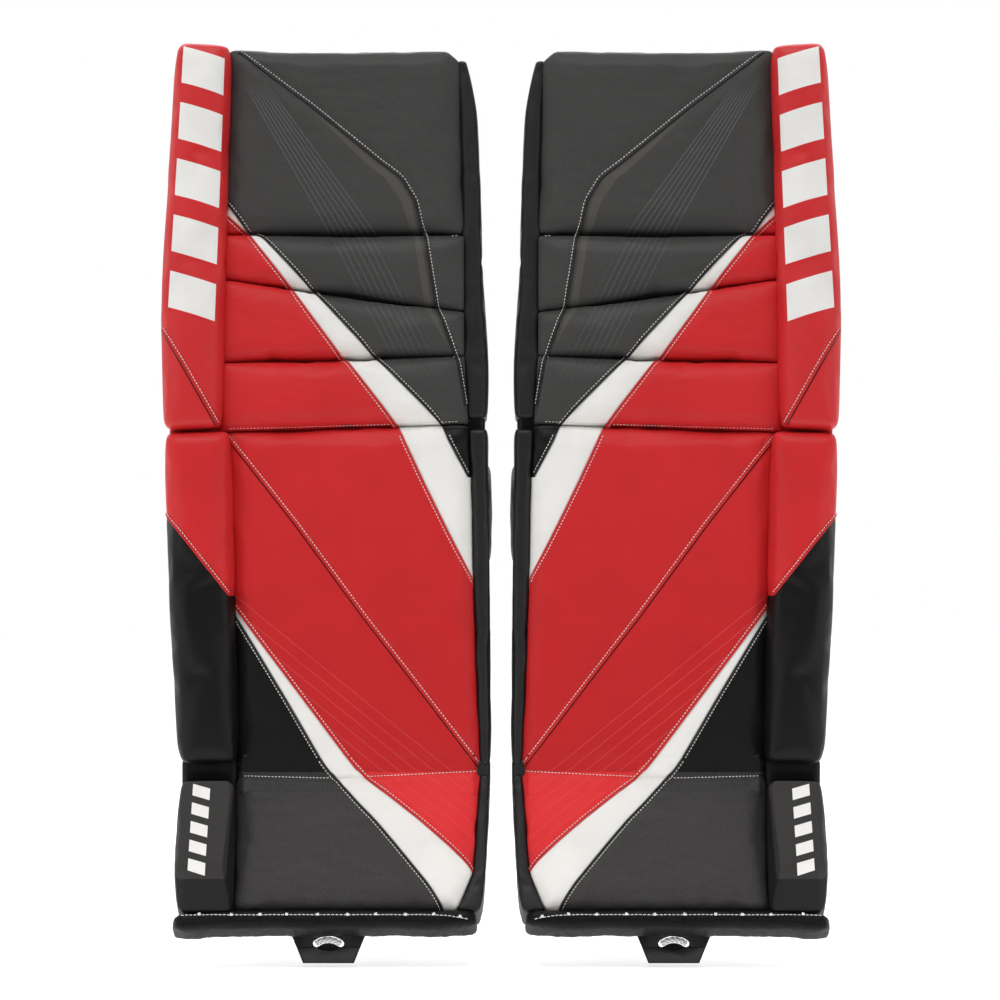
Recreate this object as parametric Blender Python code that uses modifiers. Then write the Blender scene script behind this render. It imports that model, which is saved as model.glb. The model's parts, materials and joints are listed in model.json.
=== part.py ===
"""A pair of ice hockey goalkeeper leg pads, worn upright with the faces towards -Y.

Each pad is three padded sections in a row: a shin section that holds the wearer's leg, a knee and thigh section
above it, and a boot section below it. The sections flex at the knee break and at the boot break. Behind the shin
section lie the leg channel, the knee block and calf block that land on the ice, and two wings that wrap the leg.

One pad is drawn in its own frame, in millimetres: +X towards the other leg, +Y towards the leg, +Z up, with the
knee break at height 0. It is drawn flat, and each section is then turned about its break to its resting angle.
The pad for the right leg stands at the origin and the pad for the left leg is its mirror image. The origin of the
model is the middle of the right pad's leg channel.
"""

import math

import bpy

MM = 0.001

# Driving dimensions, in millimetres and degrees.
PAD_SPACING = 300.0
CHANNEL_MIDDLE = -150.0
KNEE_BREAK = 3.0
BOOT_BREAK = -298.6
BREAK_DEPTH = -113.0
THIGH_LEAN = -6.0
BOOT_KICK = -20.0

# Depths, as Y values. The front of the shin is the flat part that stops the puck.
FACE_FRONT = -125.0
KNEE_ROLL_FRONT = -128.0
OUTER_ROLL_FRONT = -143.0
COVER_BACK = -84.2
BOARD_FRONT = -83.6
BOARD_BACK = -72.4
LINER_FRONT = -71.6

GAP = 0.45
SKIN = 3.0
FLEX_GAP = 1.7
ROLL_FLEX_GAP = 2.6
BOARD_FLEX_GAP = 3.4

# Upright lines of the pad as (height, x). The outer line is the side away from the other leg.
OUTER_LINE = [
    (342, -129.8), (280, -136.6), (150, -144), (98, -145.5), (0, -142.7), (-68, -140.6),
    (-162, -137), (-237, -132.7), (-298, -129.5), (-310, -131), (-390, -134), (-430, -131),
]
ROLL_SEAM = [(342, -88.5), (150, -93.5), (-0.3, -94.5), (-0.5, -88), (-298, -80.5), (-430, -80.5)]
EDGE_SEAM = [
    (340, 112.6), (172, 116.3), (65, 116.6), (3, 120.5), (-40, 123), (-138, 126), (-298, 131),
    (-389, 124), (-430, 108),
]
INNER_LINE = [
    (331, 122), (321, 123.5), (305, 126), (280, 128.5), (210, 131.8), (150, 133), (62, 138.5),
    (-28, 138.3), (-138, 139.5), (-298, 141), (-310, 140), (-390, 136), (-430, 127),
]
EDGE_TOP = 321.0
COVER_BOTTOM = -426.0


def knee_break(x):
    return KNEE_BREAK + 0.0325 * (x - 13)


def boot_break(x):
    return BOOT_BREAK + 0.0245 * (x - 27)


def face_top(x):
    return 338.5 - 0.006 * (x + 88)


def roll_top(x):
    return 341 - 0.05 * (x + 130)


def thigh_line(x):
    """Seam between the thigh panel and the top knee roll."""
    return 172.0


def upper_roll_line(x):
    """Seam between the top and the middle knee rolls."""
    return 133.0 - 0.1365 * (x + 92.5)


def lower_roll_line(x):
    """Seam between the middle and the lower knee rolls."""
    return 59.5 + 0.03 * (x + 92.5)


def level(height):
    return lambda x: height


def raised(line, rise):
    return lambda x: line(x) + rise


def line_at(line, height):
    """X of an upright line at a height."""
    for (z_high, x_high), (z_low, x_low) in zip(line, line[1:]):
        if z_low <= height <= z_high:
            return x_low + (x_high - x_low) * (height - z_low) / (z_high - z_low)
    return line[0][1] if height > line[0][0] else line[-1][1]


def panel(left, right, bottom, top, inset=GAP):
    """Outline between two upright lines and two level ones, pulled in by inset, anticlockwise from bottom left."""

    def corner(line, crossing, step_x, step_z):
        x = line[0][1]
        for _ in range(3):
            x = line_at(line, crossing(x))
        return x + step_x, crossing(x) + step_z

    def between(line, low, high, step_x):
        return [(x + step_x, z) for z, x in reversed(line) if low[1] + 2 < z < high[1] - 2]

    low_left = corner(left, bottom, inset, inset)
    low_right = corner(right, bottom, -inset, inset)
    high_right = corner(right, top, -inset, -inset)
    high_left = corner(left, top, inset, -inset)
    up_right = between(right, low_right, high_right, -inset)
    down_left = between(left, low_left, high_left, inset)[::-1]
    return [low_left, low_right, *up_right, high_right, high_left, *down_left]


def arc(centre, radius, start, end, steps):
    """Points along an arc, from one angle to another in degrees."""
    points = []
    for step in range(steps + 1):
        angle = math.radians(start + (end - start) * step / steps)
        points.append((centre[0] + radius * math.cos(angle), centre[1] + radius * math.sin(angle)))
    return points


def band(path, thickness):
    """Outline of a flat strip on the left of a path."""
    outside = []
    for index, (x, y) in enumerate(path):
        before = path[max(index - 1, 0)]
        after = path[min(index + 1, len(path) - 1)]
        run = math.hypot(after[0] - before[0], after[1] - before[1])
        outside.append((x - (after[1] - before[1]) / run * thickness, y + (after[0] - before[0]) / run * thickness))
    return [*path, *reversed(outside)]


# Materials


def make_material(name, colour, roughness, metallic=0.0):
    material = bpy.data.materials.new(name)
    material.use_nodes = True
    shader = material.node_tree.nodes["Principled BSDF"]
    shader.inputs["Base Color"].default_value = (*colour, 1.0)
    shader.inputs["Roughness"].default_value = roughness
    shader.inputs["Metallic"].default_value = metallic
    return material


def make_materials():
    return {
        "red_leather": make_material("red_leather", (0.55, 0.025, 0.03), 0.45),
        "black_leather": make_material("black_leather", (0.02, 0.02, 0.021), 0.5),
        "foam": make_material("foam", (0.75, 0.74, 0.7), 0.9),
        "board": make_material("board", (0.06, 0.06, 0.065), 0.6),
        "liner": make_material("liner", (0.11, 0.11, 0.12), 0.9),
        "webbing": make_material("webbing", (0.025, 0.025, 0.027), 0.8),
        "bridge_plastic": make_material("bridge_plastic", (0.015, 0.015, 0.016), 0.3),
        "white_lace": make_material("white_lace", (0.85, 0.85, 0.83), 0.8),
    }


# Solids

TURN_TO = {
    # How an outline's own plane is turned, by the axis that it is pushed out along.
    "Y": (math.radians(90), 0, 0),
    "Z": (0, 0, 0),
    "X": (math.radians(90), 0, math.radians(90)),
}


def outline_curve(name, outlines, depth, rim, sides):
    """A flat outline pushed out to a depth, with rounded rims. Outlines after the first are holes."""
    curve = bpy.data.curves.new(name, "CURVE")
    curve.dimensions = "2D"
    curve.fill_mode = sides
    curve.bevel_depth = rim * MM
    curve.bevel_resolution = 2 if rim > 2 else 0
    curve.offset = -rim * MM
    for outline in outlines:
        spline = curve.splines.new("POLY")
        spline.points.add(len(outline) - 1)
        for point, (u, v) in zip(spline.points, outline):
            point.co = (u * MM, v * MM, 0, 1)
        spline.use_cyclic_u = True
    rims = 2 if sides == "BOTH" else 1
    curve.extrude = (depth - rims * rim) / 2 * MM
    return bpy.data.objects.new(name, curve)


def outline_solid(name, outlines, axis, low, high, rim):
    """A closed solid from flat outlines, between two distances along an axis."""
    obj = outline_curve(name, outlines, high - low, rim, "BOTH")
    obj.rotation_euler = TURN_TO[axis]
    obj.location["XYZ".index(axis)] = (low + high) / 2 * MM
    return obj


def cover_shell(name, outline, front, back, rim, wall=SKIN):
    """A skin that is open at the back, with a rounded front rim."""
    obj = outline_curve(name, [outline], back - front, rim, "FRONT")
    obj.rotation_euler = TURN_TO["Y"]
    obj.location.y = (front + rim + back) / 2 * MM
    weld = obj.modifiers.new("join rim to front", "WELD")
    weld.merge_threshold = 0.00001
    solidify = obj.modifiers.new("skin", "SOLIDIFY")
    solidify.thickness = wall * MM
    solidify.offset = -1
    solidify.use_even_offset = True
    return obj


def cord(name, points, radius, swells=()):
    """A round cord through points, thicker at the knots whose indexes are in swells."""
    curve = bpy.data.curves.new(name, "CURVE")
    curve.dimensions = "3D"
    curve.bevel_depth = radius * MM
    curve.bevel_resolution = 1
    curve.use_fill_caps = True
    spline = curve.splines.new("POLY")
    spline.points.add(len(points) - 1)
    for index, (point, (x, y, z)) in enumerate(zip(spline.points, points)):
        point.co = (x * MM, y * MM, z * MM, 1)
        point.radius = 2.0 if index in swells else 1.0
    return bpy.data.objects.new(name, curve)


# One pad


class Pad:
    """One leg pad: its collection, its materials and the empties that its sections hang on."""

    def __init__(self, side, materials, origin_x, mirrored):
        self.side = side
        self.materials = materials
        self.collection = bpy.data.collections.new(f"{side}_leg_pad")
        bpy.context.scene.collection.children.link(self.collection)
        self.root = self.empty("frame", None, (0, 0, 0), 0)
        self.root.location = (origin_x * MM, 0, -CHANNEL_MIDDLE * MM)
        self.root.scale.x = -1 if mirrored else 1
        self.pivots = {self.root: (0, 0, 0)}

    def empty(self, name, parent, offset, turn):
        obj = bpy.data.objects.new(f"{self.side}_{name}", None)
        obj.empty_display_size = 0.03
        self.collection.objects.link(obj)
        obj.parent = parent
        obj.location = [value * MM for value in offset]
        obj.rotation_euler.x = math.radians(turn)
        return obj

    def hinge(self, name, parent, pivot, turn=0.0):
        """An empty on a joint's axis. Pivot is in the flat pad's frame."""
        base = self.pivots[parent]
        obj = self.empty(name, parent, [value - start for value, start in zip(pivot, base)], turn)
        self.pivots[obj] = pivot
        return obj

    def add(self, obj, section, material, flat=True):
        """Places a piece that was drawn in the flat pad's frame on a section."""
        obj.name = f"{self.side}_{obj.name}"
        obj.data.name = obj.name
        obj.data.materials.append(self.materials[material])
        self.collection.objects.link(obj)
        obj.parent = section
        if flat:
            for axis in range(3):
                obj.location[axis] -= self.pivots[section][axis] * MM
        return obj


def build_thigh_section(pad, section):
    """The part above the knee break: thigh panel, three knee rolls, outer roll, inner edge and board."""
    outline = panel(ROLL_SEAM, EDGE_SEAM, thigh_line, face_top)
    pad.add(cover_shell("thigh_cover", outline, FACE_FRONT, COVER_BACK, 10), section, "black_leather")
    inner = panel(ROLL_SEAM, EDGE_SEAM, thigh_line, face_top, GAP + SKIN + GAP)
    foam = outline_solid("thigh_foam", [inner], "Y", FACE_FRONT + SKIN + GAP, COVER_BACK - GAP, 7)
    pad.add(foam, section, "foam")

    knee = raised(knee_break, FLEX_GAP)
    rolls = [
        ("top_knee_roll", upper_roll_line, thigh_line, "black_leather"),
        ("middle_knee_roll", lower_roll_line, upper_roll_line, "red_leather"),
        ("lower_knee_roll", knee, lower_roll_line, "red_leather"),
    ]
    for name, bottom, top, material in rolls:
        outline = panel(ROLL_SEAM, EDGE_SEAM, bottom, top)
        pad.add(outline_solid(name, [outline], "Y", KNEE_ROLL_FRONT, COVER_BACK, 11), section, material)

    outline = panel(OUTER_LINE, ROLL_SEAM, raised(knee_break, ROLL_FLEX_GAP), roll_top)
    roll = outline_solid("thigh_outer_roll", [outline], "Y", OUTER_ROLL_FRONT, BOARD_BACK, 10)
    pad.add(roll, section, "red_leather")
    outline = panel(EDGE_SEAM, INNER_LINE, raised(knee_break, BOARD_FLEX_GAP), level(EDGE_TOP))
    edge = outline_solid("thigh_inner_edge", [outline], "Y", FACE_FRONT + 4, BOARD_BACK, 4)
    pad.add(edge, section, "black_leather")
    outline = panel(ROLL_SEAM, EDGE_SEAM, raised(knee_break, BOARD_FLEX_GAP), face_top)
    board = outline_solid("thigh_board", [outline], "Y", BOARD_FRONT, BOARD_BACK, 2)
    pad.add(board, section, "board")


def build_shin_section(pad, section):
    """The part between the breaks: padded face, outer roll, inner edge and board."""
    low = raised(boot_break, FLEX_GAP)
    high = raised(knee_break, -FLEX_GAP)
    outline = panel(ROLL_SEAM, EDGE_SEAM, low, high)
    pad.add(cover_shell("shin_cover", outline, FACE_FRONT, COVER_BACK, 9), section, "red_leather")
    inner = panel(ROLL_SEAM, EDGE_SEAM, low, high, GAP + SKIN + GAP)
    foam = outline_solid("shin_foam", [inner], "Y", FACE_FRONT + SKIN + GAP, COVER_BACK - GAP, 6)
    pad.add(foam, section, "foam")

    outline = panel(OUTER_LINE, ROLL_SEAM, raised(boot_break, 8), raised(knee_break, -ROLL_FLEX_GAP))
    roll = outline_solid("shin_outer_roll", [outline], "Y", OUTER_ROLL_FRONT, BOARD_BACK, 10)
    pad.add(roll, section, "red_leather")
    board_low = raised(boot_break, BOARD_FLEX_GAP)
    board_high = raised(knee_break, -BOARD_FLEX_GAP)
    outline = panel(EDGE_SEAM, INNER_LINE, board_low, board_high)
    edge = outline_solid("shin_inner_edge", [outline], "Y", FACE_FRONT + 4, BOARD_BACK, 4)
    pad.add(edge, section, "black_leather")
    outline = panel(ROLL_SEAM, EDGE_SEAM, board_low, board_high)
    board = outline_solid("shin_board", [outline], "Y", BOARD_FRONT, BOARD_BACK, 2)
    pad.add(board, section, "board")


# Leg side of the shin section, as distances from the middle of the leg channel.
CHANNEL_INSIDE = 60.0
CHANNEL_SIDE = 72.0
BLOCK_SIDE = 66.5
WING_INSIDE = 66.0
WING_THICK = 12.0
KNEE_ZONE = (-112.0, -26.0)
CALF_ZONE = (-262.0, -119.0)
WING_HINGE = (-71.0, 8.0)
STRAP_THICK = 2.4


def build_leg_channel(pad, section):
    """The trough that the leg lies in and the two blocks beside it that land on the ice."""
    trough = [
        (BLOCK_SIDE - GAP, 3), (BLOCK_SIDE - GAP, LINER_FRONT), (-CHANNEL_SIDE, LINER_FRONT), (-CHANNEL_SIDE, 3),
        *arc((0, -1), CHANNEL_INSIDE, 180, 360, 12),
    ][::-1]
    liner = outline_solid("leg_channel", [trough], "Z", -285, -20, 2.5)
    pad.add(liner, section, "liner")
    knee_block = [(BLOCK_SIDE, -118), (141, -118), (141, -26), (BLOCK_SIDE, -26)]
    block = outline_solid("knee_block", [knee_block], "Y", LINER_FRONT, -4, 8)
    pad.add(block, section, "black_leather")
    calf_block = [(BLOCK_SIDE, -282), (122, -282), (122, -119), (BLOCK_SIDE, -119)]
    block = outline_solid("calf_block", [calf_block], "Y", LINER_FRONT, 8, 8)
    pad.add(block, section, "black_leather")


def build_wing(pad, section, name, zone, end_angle):
    """A padded flap that wraps the leg from its outer side."""
    inside = arc((0, 0), WING_INSIDE, 172, end_angle, 8)
    outside = arc((0, 0), WING_INSIDE + WING_THICK, end_angle, 172, 8)
    wing = outline_solid(name, [[*inside, *outside]], "Z", *zone, 5)
    pad.add(wing, section, "black_leather")


def build_leg_strap(pad, section, name, height, middle, leave_angle, landing):
    """An elastic strap sewn on a wing, which runs round the leg and lies on the block at its inner side."""
    radius = WING_INSIDE + WING_THICK + GAP
    path = [*arc((0, 0), radius, 140, leave_angle, 13), *landing]
    strap = outline_solid(name, [band(path, STRAP_THICK)], "Z", middle - height / 2, middle + height / 2, 0.6)
    pad.add(strap, section, "webbing")


def build_boot_section(pad, section):
    """The part below the boot break, drawn flat: padded face, stepped outer roll, inner edge and bottom roll."""
    high = raised(boot_break, -FLEX_GAP)
    outline = panel(ROLL_SEAM, EDGE_SEAM, level(COVER_BOTTOM), high)
    pad.add(cover_shell("boot_cover", outline, FACE_FRONT, BOARD_BACK, 9), section, "black_leather")
    inner = panel(ROLL_SEAM, EDGE_SEAM, level(COVER_BOTTOM), high, GAP + SKIN + GAP)
    foam = outline_solid("boot_foam", [inner], "Y", FACE_FRONT + SKIN + GAP, BOARD_BACK - GAP, 6)
    pad.add(foam, section, "foam")

    step = [
        (BOARD_BACK, -305), (BOARD_BACK, COVER_BOTTOM), (FACE_FRONT - 1, COVER_BOTTOM),
        (OUTER_ROLL_FRONT, -391), (OUTER_ROLL_FRONT, -305),
    ]
    roll = outline_solid("boot_outer_roll", [step], "X", -132.5, -81.5, 4)
    pad.add(roll, section, "black_leather")
    outline = panel(EDGE_SEAM, INNER_LINE, level(COVER_BOTTOM), raised(boot_break, -BOARD_FLEX_GAP))
    edge = outline_solid("boot_inner_edge", [outline], "Y", FACE_FRONT + 4, BOARD_BACK, 3)
    pad.add(edge, section, "black_leather")

    outline = [(-133, -438.5), (126, -438.5), (126, -426.9), (-133, -426.9)]
    roll = outline_solid("bottom_roll", [outline], "Y", -128, -87, 4)
    pad.add(roll, section, "black_leather")
    build_edge_lacing(pad, section)

    walls = [
        (66, -10), (66, -62), (-66, -62), (-66, -10), (-78, -10), (-78, LINER_FRONT), (78, LINER_FRONT), (78, -10),
    ]
    cradle = outline_solid("boot_cradle", [walls[::-1]], "Z", -405, -312, 3)
    pad.add(cradle, section, "liner")


def build_edge_lacing(pad, section):
    """The waxed lace along the bottom seam, with a knot about every 26 mm."""
    knots = 11
    start, end = -131.0, 125.0
    points = []
    swells = []
    for knot in range(knots):
        x = start + (end - start) * (knot + 0.5) / knots
        swells.append(len(points) + 1)
        points += [(x - 2.2, 0, 0), (x, 0, 0), (x + 2.2, 0, 0)]
    points = [(start, 0, 0), *points, (end, 0, 0)]
    swells = [index + 1 for index in swells]
    lacing = cord("edge_lacing", points, 1.0, swells)
    lacing.location = (0, -130.3 * MM, -427.3 * MM)
    pad.add(lacing, section, "white_lace")


def build_boot_strap(pad, section):
    """The strap that goes round the back of the skate, from the cradle's outer wall to its inner wall."""
    radius = 78.9
    path = [(-radius, -22), *arc((0, -10), radius, 180, 0, 14), (radius, -18)]
    strap = outline_solid("boot_strap", [band(path, STRAP_THICK)], "Z", -372, -345, 0.6)
    pad.add(strap, section, "webbing")


# Toe bridge, in its own frame: the pivot at 0, hanging down, X across.
BRIDGE_TOP = 2.5
BRIDGE_BOTTOM = -25.0
BRIDGE_THICK = 3.6
SLOT_RADIUS = 17.1
SLOT_HALF_ANGLE = 38.0
SLOT_HALF_WIDTH = 3.1
SLOT_CENTRE = (0.0, -21.5)


def build_toe_bridge(pad, section):
    """The plate that goes under the toe of the skate, with an arched slot and the toe lace's loop in it."""
    plate = [(-22, BRIDGE_BOTTOM), (22, BRIDGE_BOTTOM), (33.4, BRIDGE_TOP), (-33.4, BRIDGE_TOP)]
    first, last = 90 - SLOT_HALF_ANGLE, 90 + SLOT_HALF_ANGLE
    right_end, left_end = arc(SLOT_CENTRE, SLOT_RADIUS, first, last, 1)
    slot = [
        *arc(SLOT_CENTRE, SLOT_RADIUS + SLOT_HALF_WIDTH, first, last, 8),
        *arc(left_end, SLOT_HALF_WIDTH, last, last + 180, 4)[1:-1],
        *arc(SLOT_CENTRE, SLOT_RADIUS - SLOT_HALF_WIDTH, last, first, 8),
        *arc(right_end, SLOT_HALF_WIDTH, first - 180, first, 4)[1:-1],
    ]
    bridge = outline_solid("toe_bridge", [plate, slot], "Y", -BRIDGE_THICK / 2, BRIDGE_THICK / 2, 0)
    pad.add(bridge, section, "bridge_plastic", flat=False)
    front = [(x, -0.6, z) for x, z in arc(SLOT_CENTRE, SLOT_RADIUS, 90 + 30, 90 - 30, 8)]
    (x, _, z) = front[-1]
    turned = [(x + 1.2, 1.0, z - 1.3), (x + 1.6, 4.5, z - 1.8), (x + 1.0, 8.5, z - 2.4)]
    lace = [(-px, py, pz) for px, py, pz in reversed(turned)] + front + turned
    pad.add(cord("toe_lace", lace, 2.3), section, "white_lace", flat=False)


def build_pad(side, materials, origin_x, mirrored):
    pad = Pad(side, materials, origin_x, mirrored)
    build_shin_section(pad, pad.root)
    build_leg_channel(pad, pad.root)

    knee_hinge = pad.hinge("knee_hinge", pad.root, (0, BREAK_DEPTH, KNEE_BREAK), THIGH_LEAN)
    build_thigh_section(pad, knee_hinge)
    boot_hinge = pad.hinge("boot_hinge", pad.root, (0, BREAK_DEPTH, BOOT_BREAK), BOOT_KICK)
    build_boot_section(pad, boot_hinge)
    toe_hinge = pad.hinge("toe_hinge", boot_hinge, (0, -82.6, -434.8), -BOOT_KICK)
    build_toe_bridge(pad, toe_hinge)
    strap_hinge = pad.hinge("boot_strap_hinge", boot_hinge, (-80.1, -22, -358.5))
    build_boot_strap(pad, strap_hinge)

    knee_wing_hinge = pad.hinge("knee_wing_hinge", pad.root, (*WING_HINGE, sum(KNEE_ZONE) / 2))
    build_wing(pad, knee_wing_hinge, "knee_wing", KNEE_ZONE, 100)
    build_leg_strap(pad, knee_wing_hinge, "knee_strap", 38, -70, 62, [(72, 14), (88, -3.4), (136, -3.4)])
    calf_wing_hinge = pad.hinge("calf_wing_hinge", pad.root, (*WING_HINGE, sum(CALF_ZONE) / 2))
    build_wing(pad, calf_wing_hinge, "calf_wing", CALF_ZONE, 58)
    build_leg_strap(pad, calf_wing_hinge, "calf_strap", 50, -192, 52, [(78, 26), (90, 8.7), (118, 8.7)])
    return pad


def clear_scene():
    for obj in list(bpy.data.objects):
        bpy.data.objects.remove(obj)


def main():
    clear_scene()
    materials = make_materials()
    build_pad("right", materials, 0.0, False)
    build_pad("left", materials, PAD_SPACING, True)


main()
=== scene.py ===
"""The looks of a pair of ice hockey goalkeeper leg pads: leather, padding, seams, lacing and linings.

Each piece is made once, for the right pad, in the pad's own flat frame: millimetres, +X towards the other
leg, +Y towards the leg, +Z up, with the knee break near height 0. It is then set in its place on the right
pad, and its mirror image on the left one. Every surface carries where it lies in that flat frame as the
attribute "place", so that both pads share their materials.
"""

import json
import math

import bmesh
import bpy
import numpy as np
from mathutils import Matrix, Vector, noise
from mathutils.bvhtree import BVHTree


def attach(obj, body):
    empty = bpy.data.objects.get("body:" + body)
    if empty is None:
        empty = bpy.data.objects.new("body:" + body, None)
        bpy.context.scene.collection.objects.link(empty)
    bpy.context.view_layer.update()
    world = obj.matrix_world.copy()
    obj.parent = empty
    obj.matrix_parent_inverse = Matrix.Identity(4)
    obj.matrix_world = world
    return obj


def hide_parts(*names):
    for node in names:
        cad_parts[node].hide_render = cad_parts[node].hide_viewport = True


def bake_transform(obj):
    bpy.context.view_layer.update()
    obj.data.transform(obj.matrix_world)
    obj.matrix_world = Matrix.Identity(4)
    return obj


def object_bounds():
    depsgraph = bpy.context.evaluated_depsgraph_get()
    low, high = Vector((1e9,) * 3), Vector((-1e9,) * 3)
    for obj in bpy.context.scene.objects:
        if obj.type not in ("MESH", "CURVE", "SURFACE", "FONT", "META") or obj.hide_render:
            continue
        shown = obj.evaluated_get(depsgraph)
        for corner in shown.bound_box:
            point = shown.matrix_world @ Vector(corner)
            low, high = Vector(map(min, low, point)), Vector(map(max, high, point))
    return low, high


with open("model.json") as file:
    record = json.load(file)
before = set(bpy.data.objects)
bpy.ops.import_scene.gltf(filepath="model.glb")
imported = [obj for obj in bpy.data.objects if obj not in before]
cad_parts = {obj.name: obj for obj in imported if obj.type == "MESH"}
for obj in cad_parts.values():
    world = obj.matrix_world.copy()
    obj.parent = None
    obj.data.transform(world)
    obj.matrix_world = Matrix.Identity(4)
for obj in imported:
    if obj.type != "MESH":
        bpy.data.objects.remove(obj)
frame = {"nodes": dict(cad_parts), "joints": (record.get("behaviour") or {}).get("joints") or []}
cad_box = [list(corner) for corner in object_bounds()]

MM = 0.001
SIDES = ("right", "left")
JOINTS = {joint["name"]: joint for joint in frame["joints"]}
PAD_SPACING = (JOINTS["left_knee_flex"]["pos_m"][0] - JOINTS["right_knee_flex"]["pos_m"][0]) / MM
FLAT_DATUM = 150.0
THIGH_LEAN = -6.0
BOOT_KICK = -20.0

# Depths of the pad's layers, in the flat frame.
FACE_FRONT = -125.0
BOARD_BACK = -72.4

# Seams of the face, as (x, z) from the top down.
GREY_SEAM = [
    (-84, 336), (-77.5, 331), (-16.5, 285), (43.5, 236), (62, 222), (74.3, 201.5), (79, 180), (82.5, 172),
    (88.3, 135), (93.8, 103.5), (96, 101.5), (109, 66), (111, 62), (118.5, 20),
]
BLACK_SEAM = [
    (-92.5, 203.5), (-70, 172.5), (-60.8, 171.5), (-14, 122), (-13, 120.5), (41, 62.5), (43, 60.5),
    (96.5, 7), (98.3, 5), (104, -8), (121, -40),
]
RED_SEAM = [
    (-93, 193), (-70, 172), (-38.3, 132.2), (-13, 97.4), (13, 62.5), (16.5, 60.5), (59.5, 5), (61, 4),
    (82.2, -41.8), (99.2, -76.6), (125, -128), (126, -138),
]
SHIN_SEAM = [(-91.5, -1.5), (-29, -81), (30.5, -162), (70, -213), (130.5, -292)]
LOWER_RED_SEAM = [
    (-90, -141.5), (-61.5, -181), (-9.3, -250.6), (16.8, -285.4), (26, -297), (33, -307.4),
    (56.7, -325.9), (78.8, -344.4), (99.3, -362.9), (119.1, -381.5), (126, -390),
]
LOWER_BLACK_SEAM = [
    (-90, -145.8), (-67.9, -181), (-36.5, -233.2), (-6.1, -285.4), (1.5, -297.5), (7.5, -306.5),
    (24, -325.9), (41.6, -344.4), (56.8, -362.9), (86.3, -400), (98.5, -418.5), (103, -428),
]
ROLL_SEAM = [(-88.5, 342), (-93.5, 150), (-94.5, -0.3), (-88, -0.5), (-80.5, -298), (-80.5, -430)]
EDGE_SEAM = [
    (112.6, 340), (116.3, 172), (116.6, 65), (120.5, 3), (123, -40), (126, -138), (131, -298),
    (124, -389), (108, -430),
]
ROLL_TUCK = [(-146, 88.5), (-97, 2.5)]
ROLL_COLOUR_SEAM = [(-143.5, -70), (-86, -144)]

# Creases between the panels, from the outer side to the inner one. The last one is the knee break.
CREASES = [
    [(-95, 172), (118, 172)],
    [(-95, 133.3), (118, 104.3)],
    [(-95, 59.4), (118, 65.8)],
    [(-95, -0.5), (122, 6.5)],
]
# Line of the boot break on the leather.
BOOT_FOLD = [(-79, -299.8), (0, -301.6), (36, -300.4), (131, -295.6)]


# Where things go


def flat_to_world(section):
    """Matrix from the flat frame of a section of the right pad, in metres, to the model's frame."""
    lift = Matrix.Translation((0, 0, FLAT_DATUM * MM))
    if section == "shin":
        return lift
    joint, turn = {"thigh": ("right_knee_flex", THIGH_LEAN), "boot": ("right_boot_flex", BOOT_KICK)}[section]
    pivot = Vector(JOINTS[joint]["pos_m"])
    turned = Matrix.Rotation(math.radians(turn), 4, "X")
    return Matrix.Translation(pivot) @ turned @ Matrix.Translation(-pivot) @ lift


TO_WORLD = {section: flat_to_world(section) for section in ("thigh", "shin", "boot")}
TO_LEFT = Matrix.Translation((PAD_SPACING * MM, 0, 0)) @ Matrix.Scale(-1, 4, (1, 0, 0))


def read_points(mesh):
    points = np.empty(len(mesh.vertices) * 3)
    mesh.vertices.foreach_get("co", points)
    return points.reshape(-1, 3) / MM


def write_points(mesh, points):
    mesh.vertices.foreach_set("co", (points * MM).ravel())
    mesh.update()


def read_normals(mesh):
    normals = np.empty(len(mesh.vertices) * 3)
    mesh.vertices.foreach_get("normal", normals)
    return normals.reshape(-1, 3)


def write_attribute(mesh, name, values):
    kind = "FLOAT_VECTOR" if values.ndim == 2 else "FLOAT"
    attribute = mesh.attributes.new(name, kind, "POINT")
    attribute.data.foreach_set("vector" if values.ndim == 2 else "value", values.astype(np.float32).ravel())


def across_at(line, heights):
    """x of a downward line at heights."""
    return np.interp(heights, [point[1] for point in line][::-1], [point[0] for point in line][::-1])


def side_of(line, points):
    """How far points lie from a seam, in millimetres: positive on the side of the other leg."""
    z = [point[1] for point in line][::-1]
    x = [point[0] for point in line][::-1]
    far = 400.0
    z = [z[0] - 0.01, *z, z[-1] + 0.01]
    x = [far, *x, -far]
    return (points[:, 0] - np.interp(points[:, 2], z, x)) * 0.78


def distance_to(line, points):
    """Distance in the face's plane from points to a seam, in millimetres."""
    nearest = np.full(len(points), 1e9)
    here = points[:, [0, 2]]
    for start, end in zip(line, line[1:]):
        start, run = np.array(start, float), np.subtract(end, start).astype(float)
        share = np.clip((here - start) @ run / (run @ run), 0, 1)
        nearest = np.minimum(nearest, np.linalg.norm(here - start - share[:, None] * run, axis=1))
    return nearest


def noise_at(points, size, seed):
    """Smooth noise of a grain size in millimetres, from -1 to 1."""
    shift = Vector((seed * 17.3, seed * 5.1, seed * 11.7))
    return np.array([noise.noise(Vector(point) / size + shift) for point in points])


def ramp(values, low, high):
    """0 below low, 1 above high, and smooth between."""
    share = np.clip((values - low) / (high - low), 0, 1)
    return share * share * (3 - 2 * share)


# Shader maths


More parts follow.
